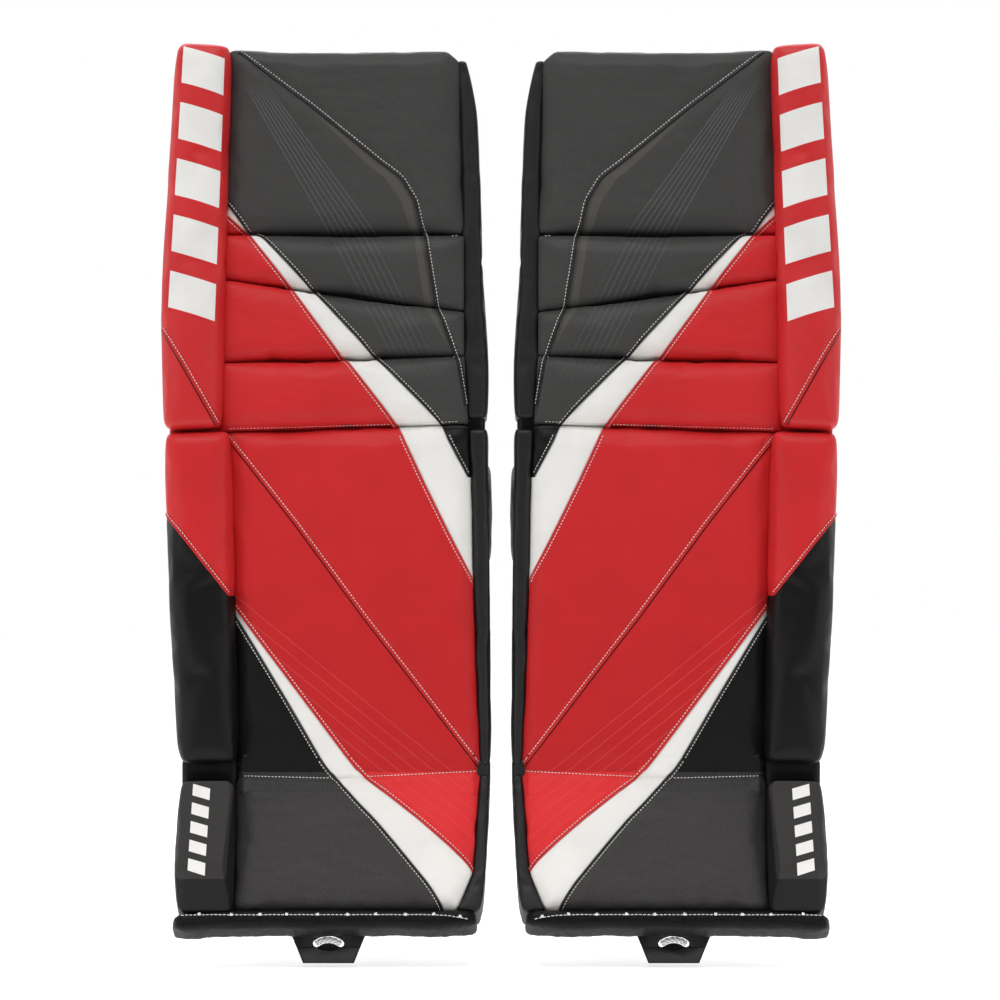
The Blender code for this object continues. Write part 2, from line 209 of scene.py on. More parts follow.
class Field:
    """A value or vector over a surface: a shader socket that Python's operators work on."""

    def __init__(self, paint, socket):
        self.paint = paint
        self.socket = socket

    def maths(self, operation, *values):
        node = self.paint.node("ShaderNodeMath", {"operation": operation}, dict(enumerate(values)))
        return Field(self.paint, node.outputs[0])

    def __add__(self, other):
        return self.maths("ADD", self, other)

    __radd__ = __add__

    def __sub__(self, other):
        return self.maths("SUBTRACT", self, other)

    def __rsub__(self, other):
        return self.maths("SUBTRACT", other, self)

    def __mul__(self, other):
        return self.maths("MULTIPLY", self, other)

    __rmul__ = __mul__

    def __truediv__(self, other):
        return self.maths("DIVIDE", self, other)

    def __abs__(self):
        return self.maths("ABSOLUTE", self)

    def fract(self):
        return self.maths("FRACT", self)

    def wave(self):
        return self.maths("SINE", self)

    def least(self, other):
        return self.maths("MINIMUM", self, other)

    def step(self, low, high):
        """0 below low, 1 above high."""
        sockets = {"Value": self, "From Min": low, "From Max": high}
        node = self.paint.node("ShaderNodeMapRange", {"interpolation_type": "SMOOTHSTEP"}, sockets)
        return Field(self.paint, node.outputs["Result"])


class Paint:
    """A material under construction."""

    def __init__(self, name):
        self.material = bpy.data.materials.new(name)
        self.material.use_nodes = True
        self.tree = self.material.node_tree
        self.shader = self.tree.nodes["Principled BSDF"]
        self.place = self.attribute("place")
        parts = self.node("ShaderNodeSeparateXYZ", {}, {"Vector": self.place})
        self.x, self.y, self.z = (Field(self, parts.outputs[axis]) for axis in "XYZ")

    def node(self, kind, settings, sockets):
        node = self.tree.nodes.new(kind)
        for name, value in settings.items():
            setattr(node, name, value)
        for name, value in sockets.items():
            self.feed(node.inputs[name], value)
        return node

    def feed(self, socket, value):
        if isinstance(value, Field):
            self.tree.links.new(value.socket, socket)
        elif isinstance(value, tuple) and socket.type == "RGBA":
            socket.default_value = (*value, 1.0)
        else:
            socket.default_value = value

    def attribute(self, name, output="Vector"):
        node = self.node("ShaderNodeAttribute", {"attribute_name": name}, {})
        return Field(self, node.outputs[output])

    def mix(self, share, first, second):
        """A colour between two, first where share is 0."""
        settings = {"data_type": "RGBA"}
        node = self.node("ShaderNodeMix", settings, {"Factor": share, 6: first, 7: second})
        return Field(self, node.outputs[2])

    def noise(self, size, detail=2.0):
        """Noise from 0 to 1, with a grain size in millimetres."""
        sockets = {"Vector": self.place, "Scale": 1 / size, "Detail": detail}
        return Field(self, self.node("ShaderNodeTexNoise", {}, sockets).outputs[0])

    def cells(self, size):
        """Distance to the nearest of scattered points, with a cell size in millimetres."""
        sockets = {"Vector": self.place, "Scale": 1 / size}
        return Field(self, self.node("ShaderNodeTexVoronoi", {}, sockets).outputs["Distance"])

    def finish(self, colour, roughness, height=None, relief=0.1, **constants):
        """Wires the shader. Height is relief over the surface, and relief is its depth in millimetres."""
        self.feed(self.shader.inputs["Base Color"], colour)
        self.feed(self.shader.inputs["Roughness"], roughness)
        if height is not None:
            sockets = {"Height": height, "Distance": relief * MM, "Strength": 1.0}
            bump = self.node("ShaderNodeBump", {}, sockets)
            self.tree.links.new(bump.outputs["Normal"], self.shader.inputs["Normal"])
        for name, value in constants.items():
            self.shader.inputs[name.replace("_", " ")].default_value = value
        return self.material


# Colours of the leathers, threads and cloths, and of the light and shade painted on them.
RED = (0.60, 0.022, 0.025)
# Copies of RED with light and shade painted in: darker for the lower shin, lighter for the boot.
SHADED_RED = (0.50, 0.015, 0.017)
LIT_RED = (0.72, 0.030, 0.034)
WHITE = (0.84, 0.83, 0.80)
GRAINED_BLACK = (0.047, 0.046, 0.0445)
BOOT_BLACK = (0.036, 0.0345, 0.0335)
SMOOTH_BLACK = (0.0032, 0.0032, 0.0034)
GREY_STRIP = (0.078, 0.071, 0.062)
# Painted shade for the creases beside lapped seams.
CREASE_SHADE = (0.006, 0.003, 0.003)
DIRT = (0.0, 0.0, 0.0)


def stripes(field, spacing, width, soft=0.25):
    """Thin lines, 1 on the line and 0 between, across a field in millimetres."""
    away = abs((field / spacing).fract() - 0.5) * spacing
    return 1 - away.step(width / 2, width / 2 + soft)


def leather_height(paint):
    """Grain of a coated leather: fine cells with a slight weave showing through."""
    grain = paint.cells(0.9)
    pores = paint.noise(0.35, 3.0)
    return grain * 0.55 + pores * 0.45


def make_face_leather():
    """Panels of the face: red, white and black leather, divided along the seams."""
    paint = Paint("face_leather")
    upper = paint.node("ShaderNodeSeparateXYZ", {}, {"Vector": paint.attribute("upper_seams")})
    lower = paint.node("ShaderNodeSeparateXYZ", {}, {"Vector": paint.attribute("lower_seams")})
    red_side, black_side, grey_side = (Field(paint, upper.outputs[axis]) for axis in "XYZ")
    lower_red, lower_black, shin_side = (Field(paint, lower.outputs[axis]) for axis in "XYZ")
    mottle = paint.noise(38.0)
    fleck = paint.noise(1.1, 4.0)
    upper_white = red_side.step(-0.05, 0.05)
    upper_black = black_side.step(-0.05, 0.05)
    lower_white = 1 - lower_red.step(-0.05, 0.05)
    lower_dark = 1 - lower_black.step(-0.05, 0.05)
    above_boot = paint.z.step(-299, -298)
    shin_zone = above_boot * (1 - paint.z.step(3, 4))
    black = paint.mix(paint.z.step(-335, -299), BOOT_BLACK, (0.020, 0.0195, 0.019))
    black = paint.mix(above_boot, black, GRAINED_BLACK)
    black = paint.mix(shin_zone, black, SMOOTH_BLACK)
    # Painted shade and light: the red darkens towards the bottom of the shin and is lighter on the boot,
    # whose face turns up to the light.
    red = paint.mix(paint.z.step(-290, 40), SHADED_RED, RED)
    red = paint.mix(above_boot, LIT_RED, red)
    strip = 10.6 - 8 * paint.z.step(222, 290) - 3.5 * (1 - paint.z.step(172, 222))
    strip = strip - 4.5 * (1 - paint.z.step(68, 112))
    grey = (grey_side + strip).step(-0.1, 0.1) * (1 - grey_side.step(-2.6, -2.4)) * paint.z.step(66, 68)
    black = paint.mix(grey, black, GREY_STRIP)
    black = paint.mix(fleck.step(0.35, 0.75) * (1 - shin_zone) * 0.5, black, (0.072, 0.070, 0.068))
    colour = paint.mix(upper_white, red, WHITE)
    colour = paint.mix(upper_black, colour, black)
    colour = paint.mix(lower_white, colour, WHITE)
    colour = paint.mix(lower_dark, colour, black)
    colour = paint.mix(paint.y.step(-87, -86), colour, SMOOTH_BLACK)

    fan = (paint.x + 144.6) / (427.6 - paint.z)
    band = fan.step(0.556, 0.560) * (1 - fan.step(0.735, 0.739)) * paint.z.step(172, 173)
    away = abs(((fan - 0.57) / 0.0224 + 0.5).fract() - 0.5) * (427.6 - paint.z) * 0.0192
    upper_lines = (1 - away.step(0.18, 0.5)) * band * (1 - paint.z.step(285, 312)) * upper_black
    run = paint.x + (paint.z - 172) * 0.502
    roll_zone = run.step(0.0, 0.6) * (1 - run.step(40.5, 41.5))
    roll_zone = roll_zone * (1 - paint.z.step(171, 172)) * paint.z.step(20, 110)
    roll_lines = stripes(run + 1.8, 5.73, 0.36) * roll_zone * upper_black
    slant = paint.x * 0.63 + paint.z * 0.776
    lower_zone = (1 - upper_white) * (1 - lower_white) * (1 - slant.step(-161, -160))
    lower_zone = lower_zone * (1 - paint.y.step(-104, -100))
    lower_lines = stripes(slant + 166.7, 9.4, 0.4) * lower_zone
    lines = upper_lines * 0.5 + roll_lines * 0.4 + lower_lines * 0.3
    colour = paint.mix(lower_lines * (0.10 + above_boot * 0.07), colour, (0.75, 0.25, 0.25))
    colour = paint.mix((upper_lines + roll_lines * 0.8) * 0.55, colour, (0.17, 0.17, 0.168))
    # Painted shade: a dark band beside the lower edge of the shin seam's lap, and fainter bands beside the
    # edges of the other laps.
    crease = abs(shin_side + 0.7).step(0.25, 0.9)
    for side in (red_side - 0.4, black_side + 0.4, grey_side + 0.4, lower_red + 0.4, lower_black - 0.4):
        crease = crease.least(abs(side).step(-0.2, 0.6) * 0.6 + 0.4)
    colour = paint.mix((1 - crease) * 0.85, colour, CREASE_SHADE)
    colour = paint.mix(mottle.step(0.3, 0.8) * 0.07, colour, DIRT)
    roughness = 0.44 + fleck * 0.14 + mottle * 0.05
    height = leather_height(paint) * (1.15 - shin_zone * 0.6) - lines * 2.0
    return paint.finish(colour, roughness, height, 0.10, Specular_IOR_Level=0.2)


def make_roll_leather():
    """The thigh's outer roll: red leather with a row of printed white bars."""
    paint = Paint("roll_leather")
    centre = (paint.z - 98.0) * 0.043 - 119.5
    across = abs(paint.x - centre)
    slant = paint.z + (paint.x - centre) * 0.30
    phase = ((slant - 99.5) / 49.6).fract()
    bar = phase.step(0.004, 0.012) * (1 - phase.step(0.655, 0.663))
    reach = 20.6 - (paint.z - 98.0) * 0.0105
    inside = (1 - (across - reach).step(-0.12, 0.12)) * slant.step(99.6, 99.9)
    inside = inside * (1 - slant.step(332.2, 332.5))
    front = 1 - paint.y.step(-134, -133)
    mask = bar * inside * front
    mottle = paint.noise(30.0)
    colour = paint.mix(mask, RED, WHITE)
    colour = paint.mix(mottle.step(0.3, 0.8) * 0.07, colour, DIRT)
    # Painted shade: a dark band beside the edge of the slanting seam's lap.
    tuck = 1 - abs(paint.attribute("roll_seam", "Fac") + 0.7).step(0.25, 0.9)
    colour = paint.mix(tuck * 0.85, colour, CREASE_SHADE)
    height = leather_height(paint) * (1 - mask * 0.6) + mask * 0.7
    return paint.finish(colour, 0.42 + mottle * 0.12, height, 0.08, Specular_IOR_Level=0.32)


def make_shin_roll_leather():
    """The shin's outer roll: red leather above a slanting seam and black below."""
    paint = Paint("shin_roll_leather")
    side = paint.attribute("roll_seam", "Fac")
    mottle = paint.noise(30.0)
    colour = paint.mix(side.step(-0.05, 0.05), SMOOTH_BLACK, RED)
    colour = paint.mix(mottle.step(0.3, 0.8) * 0.08, colour, DIRT)
    # Painted shade: a dark band beside the edge of the slanting seam's lap.
    crease = 1 - abs(side + 0.7).step(0.25, 0.9)
    colour = paint.mix(crease * 0.85, colour, CREASE_SHADE)
    return paint.finish(colour, 0.42 + mottle * 0.12, leather_height(paint), 0.07, Specular_IOR_Level=0.22)


def make_plain_leather(name, base, fleck_colour, roughness, relief, specular=0.30):
    paint = Paint(name)
    mottle = paint.noise(26.0)
    fleck = paint.noise(1.1, 4.0)
    colour = paint.mix(fleck.step(0.35, 0.75) * 0.5, base, fleck_colour)
    colour = paint.mix(mottle.step(0.3, 0.8) * 0.12, colour, DIRT)
    rough = roughness + fleck * 0.12 + mottle * 0.06
    return paint.finish(colour, rough, leather_height(paint), relief, Specular_IOR_Level=specular)


def make_bump_leather():
    """The boot's outer roll: grained black with printed white dashes, painted darker below its ridge and on
    its flanks.
    """
    paint = Paint("bump_leather")
    fleck = paint.noise(1.1, 4.0)
    across = abs(paint.x + 111.0 - (paint.z + 356.0) * 0.045)
    slant = paint.z + (paint.x + 110.0) * 0.30
    phase = ((slant + 397.5) / 17.0).fract()
    bar = phase.step(0.01, 0.03) * (1 - phase.step(0.63, 0.65))
    inside = (1 - across.step(7.4, 7.6)) * slant.step(-397.4, -397.0) * (1 - slant.step(-318.0, -317.6))
    mask = bar * inside * (1 - paint.y.step(-139, -138))
    # Painted shade: the slope below the ridge, which faces down, is painted darker; the flanks behind the
    # front face are darker too.
    front = paint.z.step(-401.5, -400.5) * (1 - paint.y.step(-138, -136))
    colour = paint.mix(fleck.step(0.35, 0.75) * 0.5, (0.028, 0.0265, 0.026), (0.052, 0.050, 0.048))
    colour = paint.mix(front, (0.0085, 0.0083, 0.0083), colour)
    colour = paint.mix(mask, colour, WHITE)
    return paint.finish(colour, 0.46 + fleck * 0.14, leather_height(paint), 0.09, Specular_IOR_Level=0.22)


def weave_height(paint, size):
    """A plain weave in the plane that a ribbon's or a panel's place gives."""
    turn = 2 * math.pi / size
    warp = (paint.x * turn).wave()
    weft = (paint.z * turn).wave()
    return warp * weft * 0.5 + 0.5


def make_cloth(name, base, light, size, roughness, relief):
    paint = Paint(name)
    weave = weave_height(paint, size)
    fuzz = paint.noise(0.5, 4.0)
    dirt = paint.noise(18.0)
    colour = paint.mix(weave * 0.6 + fuzz * 0.3, base, light)
    colour = paint.mix(dirt.step(0.35, 0.8) * 0.18, colour, DIRT)
    sheen = {"Sheen_Weight": 0.25, "Sheen_Roughness": 0.4, "Specular_IOR_Level": 0.25}
    return paint.finish(colour, roughness, weave * 0.7 + fuzz * 0.5, relief, **sheen)


def make_thread(name, base):
    paint = Paint(name)
    ply = ((paint.x * 5.0) + (paint.z * 3.0)).wave() * 0.5 + 0.5
    colour = paint.mix(ply * 0.35, base, tuple(value * 0.55 for value in base))
    return paint.finish(colour, 0.62 + ply * 0.1, ply, 0.08, Sheen_Weight=0.2)


def make_wrapped_lace():
    """A white lace wound tightly around itself, with painted shade in the grooves between its turns."""
    paint = Paint("wrapped_lace")
    turn = ((paint.z - paint.x * 0.9) * 0.26).fract()
    # Painted shade in the grooves between the turns.
    groove = 1 - abs(turn - 0.5).step(0.05, 0.13)
    fuzz = paint.noise(0.5, 3.0)
    colour = paint.mix(groove * 0.9, (0.86, 0.86, 0.87), (0.10, 0.10, 0.13))
    return paint.finish(colour, 0.5 + fuzz * 0.2, fuzz - groove, 0.1, Sheen_Weight=0.2)


def make_plastic():
    paint = Paint("bridge_plastic")
    weave = weave_height(paint, 0.9)
    scuff = paint.noise(6.0, 5.0)
    colour = paint.mix(scuff.step(0.45, 0.8) * 0.5, (0.0025, 0.0025, 0.0028), (0.005, 0.005, 0.0053))
    return paint.finish(colour, 0.30 + scuff * 0.2, weave * 0.4 + scuff * 0.3, 0.04, Specular_IOR_Level=0.25)


def make_lip_plastic():
    paint = Paint("bridge_lip")
    scuff = paint.noise(4.0, 5.0)
    colour = paint.mix(scuff.step(0.4, 0.8) * 0.5, (0.017, 0.017, 0.018), (0.028, 0.028, 0.029))
    return paint.finish(colour, 0.42 + scuff * 0.15, scuff, 0.03)


# Leathers of one colour: material, base, flecks, roughness, relief and, where it isn't the usual, specular.
PLAIN_LEATHERS = {
    "grained": ("grained_black_leather", GRAINED_BLACK, (0.066, 0.065, 0.063), 0.46, 0.09),
    "smooth": ("smooth_black_leather", SMOOTH_BLACK, (0.010, 0.010, 0.0105), 0.36, 0.06, 0.22),
    "edge": ("edge_black_leather", (0.0125, 0.0125, 0.013), (0.021, 0.021, 0.021), 0.38, 0.07),
    "bound": ("bound_black_leather", (0.004, 0.004, 0.0044), (0.009, 0.009, 0.010), 0.40, 0.08, 0.13),
    "lap_red": ("lap_red_leather", (0.56, 0.017, 0.019), (0.52, 0.016, 0.018), 0.42, 0.05),
    "lap_black": ("lap_black_leather", (0.013, 0.013, 0.0135), (0.022, 0.022, 0.022), 0.42, 0.05),
}


def make_materials():
    grey_light = (0.17, 0.17, 0.178)
    return {
        "face": make_face_leather(),
        "roll": make_roll_leather(),
        "shin_roll": make_shin_roll_leather(),
        "bump": make_bump_leather(),
        **{key: make_plain_leather(*facts) for key, facts in PLAIN_LEATHERS.items()},
        "nylon": make_cloth("board_nylon", (0.016, 0.016, 0.018), (0.05, 0.05, 0.054), 1.4, 0.62, 0.12),
        "knit": make_cloth("liner_knit", (0.075, 0.075, 0.08), grey_light, 1.8, 0.9, 0.2),
        "webbing": make_cloth("strap_webbing", (0.012, 0.012, 0.0125), (0.055, 0.055, 0.058), 2.2, 0.7, 0.35),
        "white_thread": make_thread("white_thread", (0.80, 0.79, 0.76)),
        "grey_thread": make_thread("grey_thread", (0.40, 0.40, 0.39)),
        "lace": make_thread("waxed_lace", (0.90, 0.90, 0.89)),
        "wrapped": make_wrapped_lace(),
        "plastic": make_plastic(),
        "lip": make_lip_plastic(),
    }


# Meshes


def new_mesh(name, points, faces):
    mesh = bpy.data.meshes.new(name)
    mesh.from_pydata([tuple(point) for point in np.asarray(points) * MM], [], faces)
    mesh.update()
    return mesh


def cad_form(node, section, hull):
    """A CAD solid of the right pad, brought back to the flat frame. A hull closes a cover's open back."""
    mesh = frame["nodes"][f"right_{node}"].data.copy()
    mesh.transform(TO_WORLD[section].inverted())
    solid = bmesh.new()
    solid.from_mesh(mesh)
    bmesh.ops.remove_doubles(solid, verts=solid.verts, dist=1e-5)
    if hull:
        bmesh.ops.delete(solid, geom=solid.faces[:], context="FACES_ONLY")
        made = bmesh.ops.convex_hull(solid, input=solid.verts)
        unused = made["geom_interior"] + made["geom_unused"]
        spare = {item for item in unused if isinstance(item, bmesh.types.BMVert)}
        bmesh.ops.delete(solid, geom=list(spare), context="VERTS")
    bmesh.ops.recalc_face_normals(solid, faces=solid.faces)
    solid.to_mesh(mesh)
    solid.free()
    return mesh


def with_modifiers(mesh, *modifiers):
    """A mesh as Blender's modifiers leave it. Each modifier is its type and its settings."""
    obj = bpy.data.objects.new("work", mesh)
    bpy.context.scene.collection.objects.link(obj)
    for kind, settings in modifiers:
        modifier = obj.modifiers.new(kind, kind)
        for name, value in settings.items():
            setattr(modifier, name, value)
    evaluated = obj.evaluated_get(bpy.context.evaluated_depsgraph_get())
    made = bpy.data.meshes.new_from_object(evaluated)
    bpy.data.objects.remove(obj)
    return made


def remeshed(mesh, voxel, smoothing=4):
    return with_modifiers(
        mesh,
        ("REMESH", {"mode": "VOXEL", "voxel_size": voxel * MM}),
        ("SMOOTH", {"factor": 0.5, "iterations": smoothing}),
    )


def shrunk(mesh, inset):
    points = read_points(mesh) - read_normals(mesh) * inset
    write_points(mesh, points)
    return mesh


class Swelling:
    """A form that cloth simulation fills with air, held where its pins say."""

    def __init__(self, mesh, pins, pressure, cap, slack=0.012):
        self.start = read_points(mesh)
        self.cap = cap
        self.obj = bpy.data.objects.new("swelling", mesh)
        bpy.context.scene.collection.objects.link(self.obj)
        group = self.obj.vertex_groups.new(name="pins")
        for index in np.flatnonzero(pins):
            group.add([int(index)], 1.0, "REPLACE")
        self.modifier = self.obj.modifiers.new("cloth", "CLOTH")
        settings = self.modifier.settings
        settings.quality = 4
        settings.mass = 0.25
        settings.use_pressure = True
        settings.uniform_pressure_force = pressure
        settings.tension_stiffness = 12
        settings.compression_stiffness = 12
        settings.bending_stiffness = 0.4
        settings.shrink_min = -slack
        settings.vertex_group_mass = "pins"
        settings.effector_weights.gravity = 0
        self.modifier.collision_settings.use_collision = False

    def result(self):
        """The swollen form, with each point's way capped."""
        evaluated = self.obj.evaluated_get(bpy.context.evaluated_depsgraph_get())
        mesh = bpy.data.meshes.new_from_object(evaluated)
        way = read_points(mesh) - self.start
        length = np.linalg.norm(way, axis=1, keepdims=True) + 1e-9
        write_points(mesh, self.start + way / length * self.cap * np.tanh(length / self.cap))
        bpy.data.objects.remove(self.obj)
        return mesh


SWELL_FRAMES = 14


def swell_all():
    """Runs the cloth of every swelling at once."""
    for step in range(1, SWELL_FRAMES + 1):
        bpy.context.scene.frame_set(step)


def subdivided(mesh):
    return with_modifiers(mesh, ("SUBSURF", {"levels": 1, "render_levels": 1}))


# Placing


def place_piece(name, mesh, section, body, material, slot, nodes=(), fill=None, place=None, blend=None):
    """Sets a flat mesh on the right pad and its mirror image on the left pad."""
    points = read_points(mesh)
    write_attribute(mesh, "place", points if place is None else np.asarray(place, float))
    mesh.transform(TO_WORLD[section])
    mesh.materials.clear()
    mesh.materials.append(material)
    mesh.shade_smooth()
    made = []
    for side in SIDES:
        own = mesh.copy()
        if side == "left":
            own.transform(TO_LEFT)
            own.flip_normals()
        own.name = f"{side}_{name}"
        obj = bpy.data.objects.new(own.name, own)
        bpy.context.scene.collection.objects.link(obj)
        if blend is None:
            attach(obj, f"{side}_{body}")
        else:
            first, second, start, end = blend
            matrix = TO_LEFT if side == "left" else Matrix.Identity(4)
            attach(obj, f"{side}_{first}")
            obj.parent = None
            matrix @ start
            matrix @ end
            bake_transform(obj)
        if nodes:
            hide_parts(*[f"{side}_{node}" for node in nodes])
        made.append(obj)
    bpy.data.meshes.remove(mesh)
    return made


def joint_span(joint, above, below):
    """Start and end of a stretch across a joint: points below and above its axis."""
    pivot = Vector(JOINTS[joint]["pos_m"])
    return pivot + Vector((0, 0, below * MM)), pivot + Vector((0, 0, above * MM))


# The soft pieces on both sides of the knee break are given the same stretch across it.
KNEE_SPAN = joint_span("right_knee_flex", 24, -22)
KNEE_BLENDS = {"thigh": ("thigh", "shin", *KNEE_SPAN[::-1]), "shin": ("shin", "thigh", *KNEE_SPAN)}
AT_KNEE = (
    "lower_knee_roll", "shin_cover", "thigh_outer_roll", "shin_outer_roll", "thigh_inner_edge",
    "shin_inner_edge",
)


# Seams and stitches

# Heights that each section's seams span, and how far seams may sink into the grooves between panels.
SEAM_SPAN = {
    "thigh": (4.0, 334.5), "shin": (-285.5, -1.0), "boot": (-424.0, -312.5), "break": (-318.0, -283.0),
}
DEEPEST = 9.0
STITCH_LENGTH = 1.95
STITCH_GAP = 1.05
THREAD_RADIUS = 0.38
LAP_WIDTH = 5.2
LAP_RISE = 1.25


def eased(values, reach):
    """A running mean over an odd number of samples."""
    padded = np.pad(values, [(reach, reach)] + [(0, 0)] * (values.ndim - 1), mode="edge")
    total = sum(padded[step:step + len(values)] for step in range(2 * reach + 1))
    return total / (2 * reach + 1)


def unit(vectors):
    return vectors / (np.linalg.norm(vectors, axis=-1, keepdims=True) + 1e-12)


class Trail:
    """Points along a line on a surface, with directions along it, across it and out of the surface."""

    def __init__(self, points, out):
        self.points = points
        self.along = unit(np.gradient(points, axis=0))
        self.out = unit(out - (out * self.along).sum(1, keepdims=True) * self.along)
        self.across = np.cross(self.along, self.out)
        steps = np.linalg.norm(np.diff(points, axis=0), axis=1)
        self.run = np.r_[0, np.cumsum(steps)]

    def at(self, distances, shift=0.0, rise=0.0):
        """Points at distances along the trail, moved across it and outwards, with their directions."""

        def sample(values):
            return np.stack([np.interp(distances, self.run, values[:, axis]) for axis in range(3)], 1)

        along, across, out = (unit(sample(values)) for values in (self.along, self.across, self.out))
        return sample(self.points) + across * shift + out * rise, along, across, out


class Front:
    """The front of a section's panels, which seams and stitches lie on."""

    def __init__(self, meshes):
        points = []
        faces = []
        for mesh in meshes:
            base = len(points)
            points += [tuple(point) for point in read_points(mesh)]
            faces += [[base + index for index in face.vertices] for face in mesh.polygons]
        self.tree = BVHTree.FromPolygons(points, faces)

    def trail(self, line, origin=None, spacing=1.2, round_corners=4):
        """A line of (x, z) corners laid on the surface, or of (degrees, z) corners around an origin."""
        corners = np.array(line, float)
        scale = np.array([1.0 if origin is None else 1.35, 1.0])
        runs = np.r_[0, np.cumsum(np.linalg.norm(np.diff(corners, axis=0) * scale, axis=1))]
        steps = np.linspace(0, runs[-1], max(int(runs[-1] / spacing), 4))
        first = eased(np.interp(steps, runs, corners[:, 0]), round_corners)
        height = eased(np.interp(steps, runs, corners[:, 1]), round_corners)
        points = []
        outs = []
        for u, z in zip(first, height):
            if origin is None:
                start, aim = Vector((u, -300, z)), Vector((0, 1, 0))
            else:
                turn = math.radians(u)
                aim = -Vector((math.cos(turn), math.sin(turn), 0))
                start = Vector((*origin, z)) - aim * 300
            hit, normal, _, _ = self.tree.ray_cast(start, aim)
            deepest = FACE_FRONT + DEEPEST
            if hit is None or (origin is None and hit.y > deepest):
                hit = Vector((u, deepest, z)) if origin is None else (points[-1] if points else start)
                normal = -aim
            points.append(Vector(hit))
            outs.append(normal if normal.dot(aim) < 0 else -normal)
        points = eased(np.array(points), 1)
        return Trail(points, eased(np.array(outs), 2))


def between_heights(line, low, high):
    """The stretch of a downward line that lies between two heights."""
    kept = [point for point in line if low < point[1] < high]
    if line[0][1] > high:
        kept.insert(0, (float(across_at(line, high)), high))
    if line[-1][1] < low:
        kept.append((float(across_at(line, low)), low))
    return kept


def strip_faces(rows, sides):
    """Faces of a closed strip: rows of points, each a ring of so many sides, with both ends shut."""
    faces = []
    for row in range(rows - 1):
        for step in range(sides):
            following = (step + 1) % sides
            low, high = row * sides, (row + 1) * sides
            faces.append((low + step, low + following, high + following, high + step))
    faces.append(tuple(range(sides))[::-1])
    faces.append(tuple((rows - 1) * sides + step for step in range(sides)))
    return faces


def swept(trail, section, rise=0.0, shift=0.0, spacing=1.2):
    """A closed strip along a trail. A section is a ring of (across, out) points in millimetres."""
    distances = np.linspace(0, trail.run[-1], max(int(trail.run[-1] / spacing), 2))
    centre, _, across, out = trail.at(distances, shift, rise)
    ring = np.array(section, float)
    points = centre[:, None] + across[:, None] * ring[None, :, :1] + out[:, None] * ring[None, :, 1:]
    place = np.zeros((len(centre), len(ring), 3))
    place[:, :, 0] = distances[:, None]
    place[:, :, 2] = ring[None, :, 0]
    return points.reshape(-1, 3), strip_faces(len(centre), len(ring)), place.reshape(-1, 3)


class Heap:
    """Several shapes gathered into one mesh."""

    def __init__(self):
        self.points = []
        self.faces = []
        self.places = []
        self.count = 0

    def add(self, points, faces, places):
        self.points.append(points)
        self.places.append(places)
        self.faces += [tuple(self.count + index for index in face) for face in faces]
        self.count += len(points)

    def mesh(self, name):
        return new_mesh(name, np.concatenate(self.points), self.faces)

    def place(self):
        return np.concatenate(self.places)


def lap_section(edge):
    """Cross-section of a panel's turned edge, lapped over the next panel on the side that edge gives."""
    width = LAP_WIDTH
    outline = [
        (-width, -0.55), (-0.8 * width, 0.02), (-0.55 * width, 0.30), (-0.42 * width, 0.34),
        (-0.25 * width, 0.62), (-0.10 * width, LAP_RISE), (-0.02 * width, 0.86 * LAP_RISE),
        (0.0, 0.45 * LAP_RISE), (0.0, -0.9),
        (-width, -1.3),
    ]
    ring = [(across * edge, out) for across, out in outline]
    return ring if edge > 0 else ring[::-1]


def add_stitches(
    heap, trail, shift=0.0, rise=0.0, length=STITCH_LENGTH, gap=STITCH_GAP, radius=THREAD_RADIUS
):
    """A row of stitches along a trail: short threads whose ends dip into the leather."""
    pitch = length + gap
    count = int(trail.run[-1] / pitch)
    if count < 1:
        return
    start = (trail.run[-1] - count * pitch + gap) / 2 + length / 2
    centre, along, across, out = trail.at(start + pitch * np.arange(count), shift, rise)
    stations = np.array([-0.5, -0.43, -0.22, 0.0, 0.22, 0.43, 0.5]) * length
    widths = np.array([0.25, 0.8, 1.0, 1.05, 1.0, 0.8, 0.25]) * radius
    lifts = np.array([-0.45, -0.12, 0.10, 0.16, 0.10, -0.12, -0.45])
    sides = 6
    angles = np.arange(sides) * 2 * math.pi / sides
    flat = np.cos(angles)[None] * widths[:, None]
    tall = np.sin(angles)[None] * widths[:, None] * 0.8 + lifts[:, None]
    points = (
        centre[:, None, None]
        + along[:, None, None] * stations[None, :, None, None]
        + across[:, None, None] * flat[None, :, :, None]
        + out[:, None, None] * tall[None, :, :, None]
    )
    rows = len(stations)
    single = strip_faces(rows, sides)
    place = np.zeros(points.shape)
    place[..., 0] = stations[None, :, None] + np.arange(count)[:, None, None] * pitch
    place[..., 2] = flat[None]
    size = rows * sides
    faces = [tuple(stitch * size + index for index in face) for stitch in range(count) for face in single]
    heap.add(points.reshape(-1, 3), faces, place.reshape(-1, 3))


def place_heap(name, heap, section, body, material, slot, nodes=(), blend=None):
    """Sets a heap's shapes as one piece."""
    place_piece(name, heap.mesh(name), section, body, material, slot, nodes, place=heap.place(), blend=blend)


# Each lapped seam: its line, which side its edge faces (1 is down and outward), the upper panel's leather.
LAPS = {
    "grey_seam": (GREY_SEAM, 1, "lap_black"),
    "black_seam": (BLACK_SEAM, 1, "lap_black"),
    "red_seam": (RED_SEAM, -1, "lap_red"),
    "shin_seam": (SHIN_SEAM, 1, "lap_red"),
    "lower_red_seam": (LOWER_RED_SEAM, 1, "lap_red"),
    "lower_black_seam": (LOWER_BLACK_SEAM, -1, "lap_black"),
}
LAP_SLOTS = {"lap_black": "black_leather", "lap_red": "red_leather"}


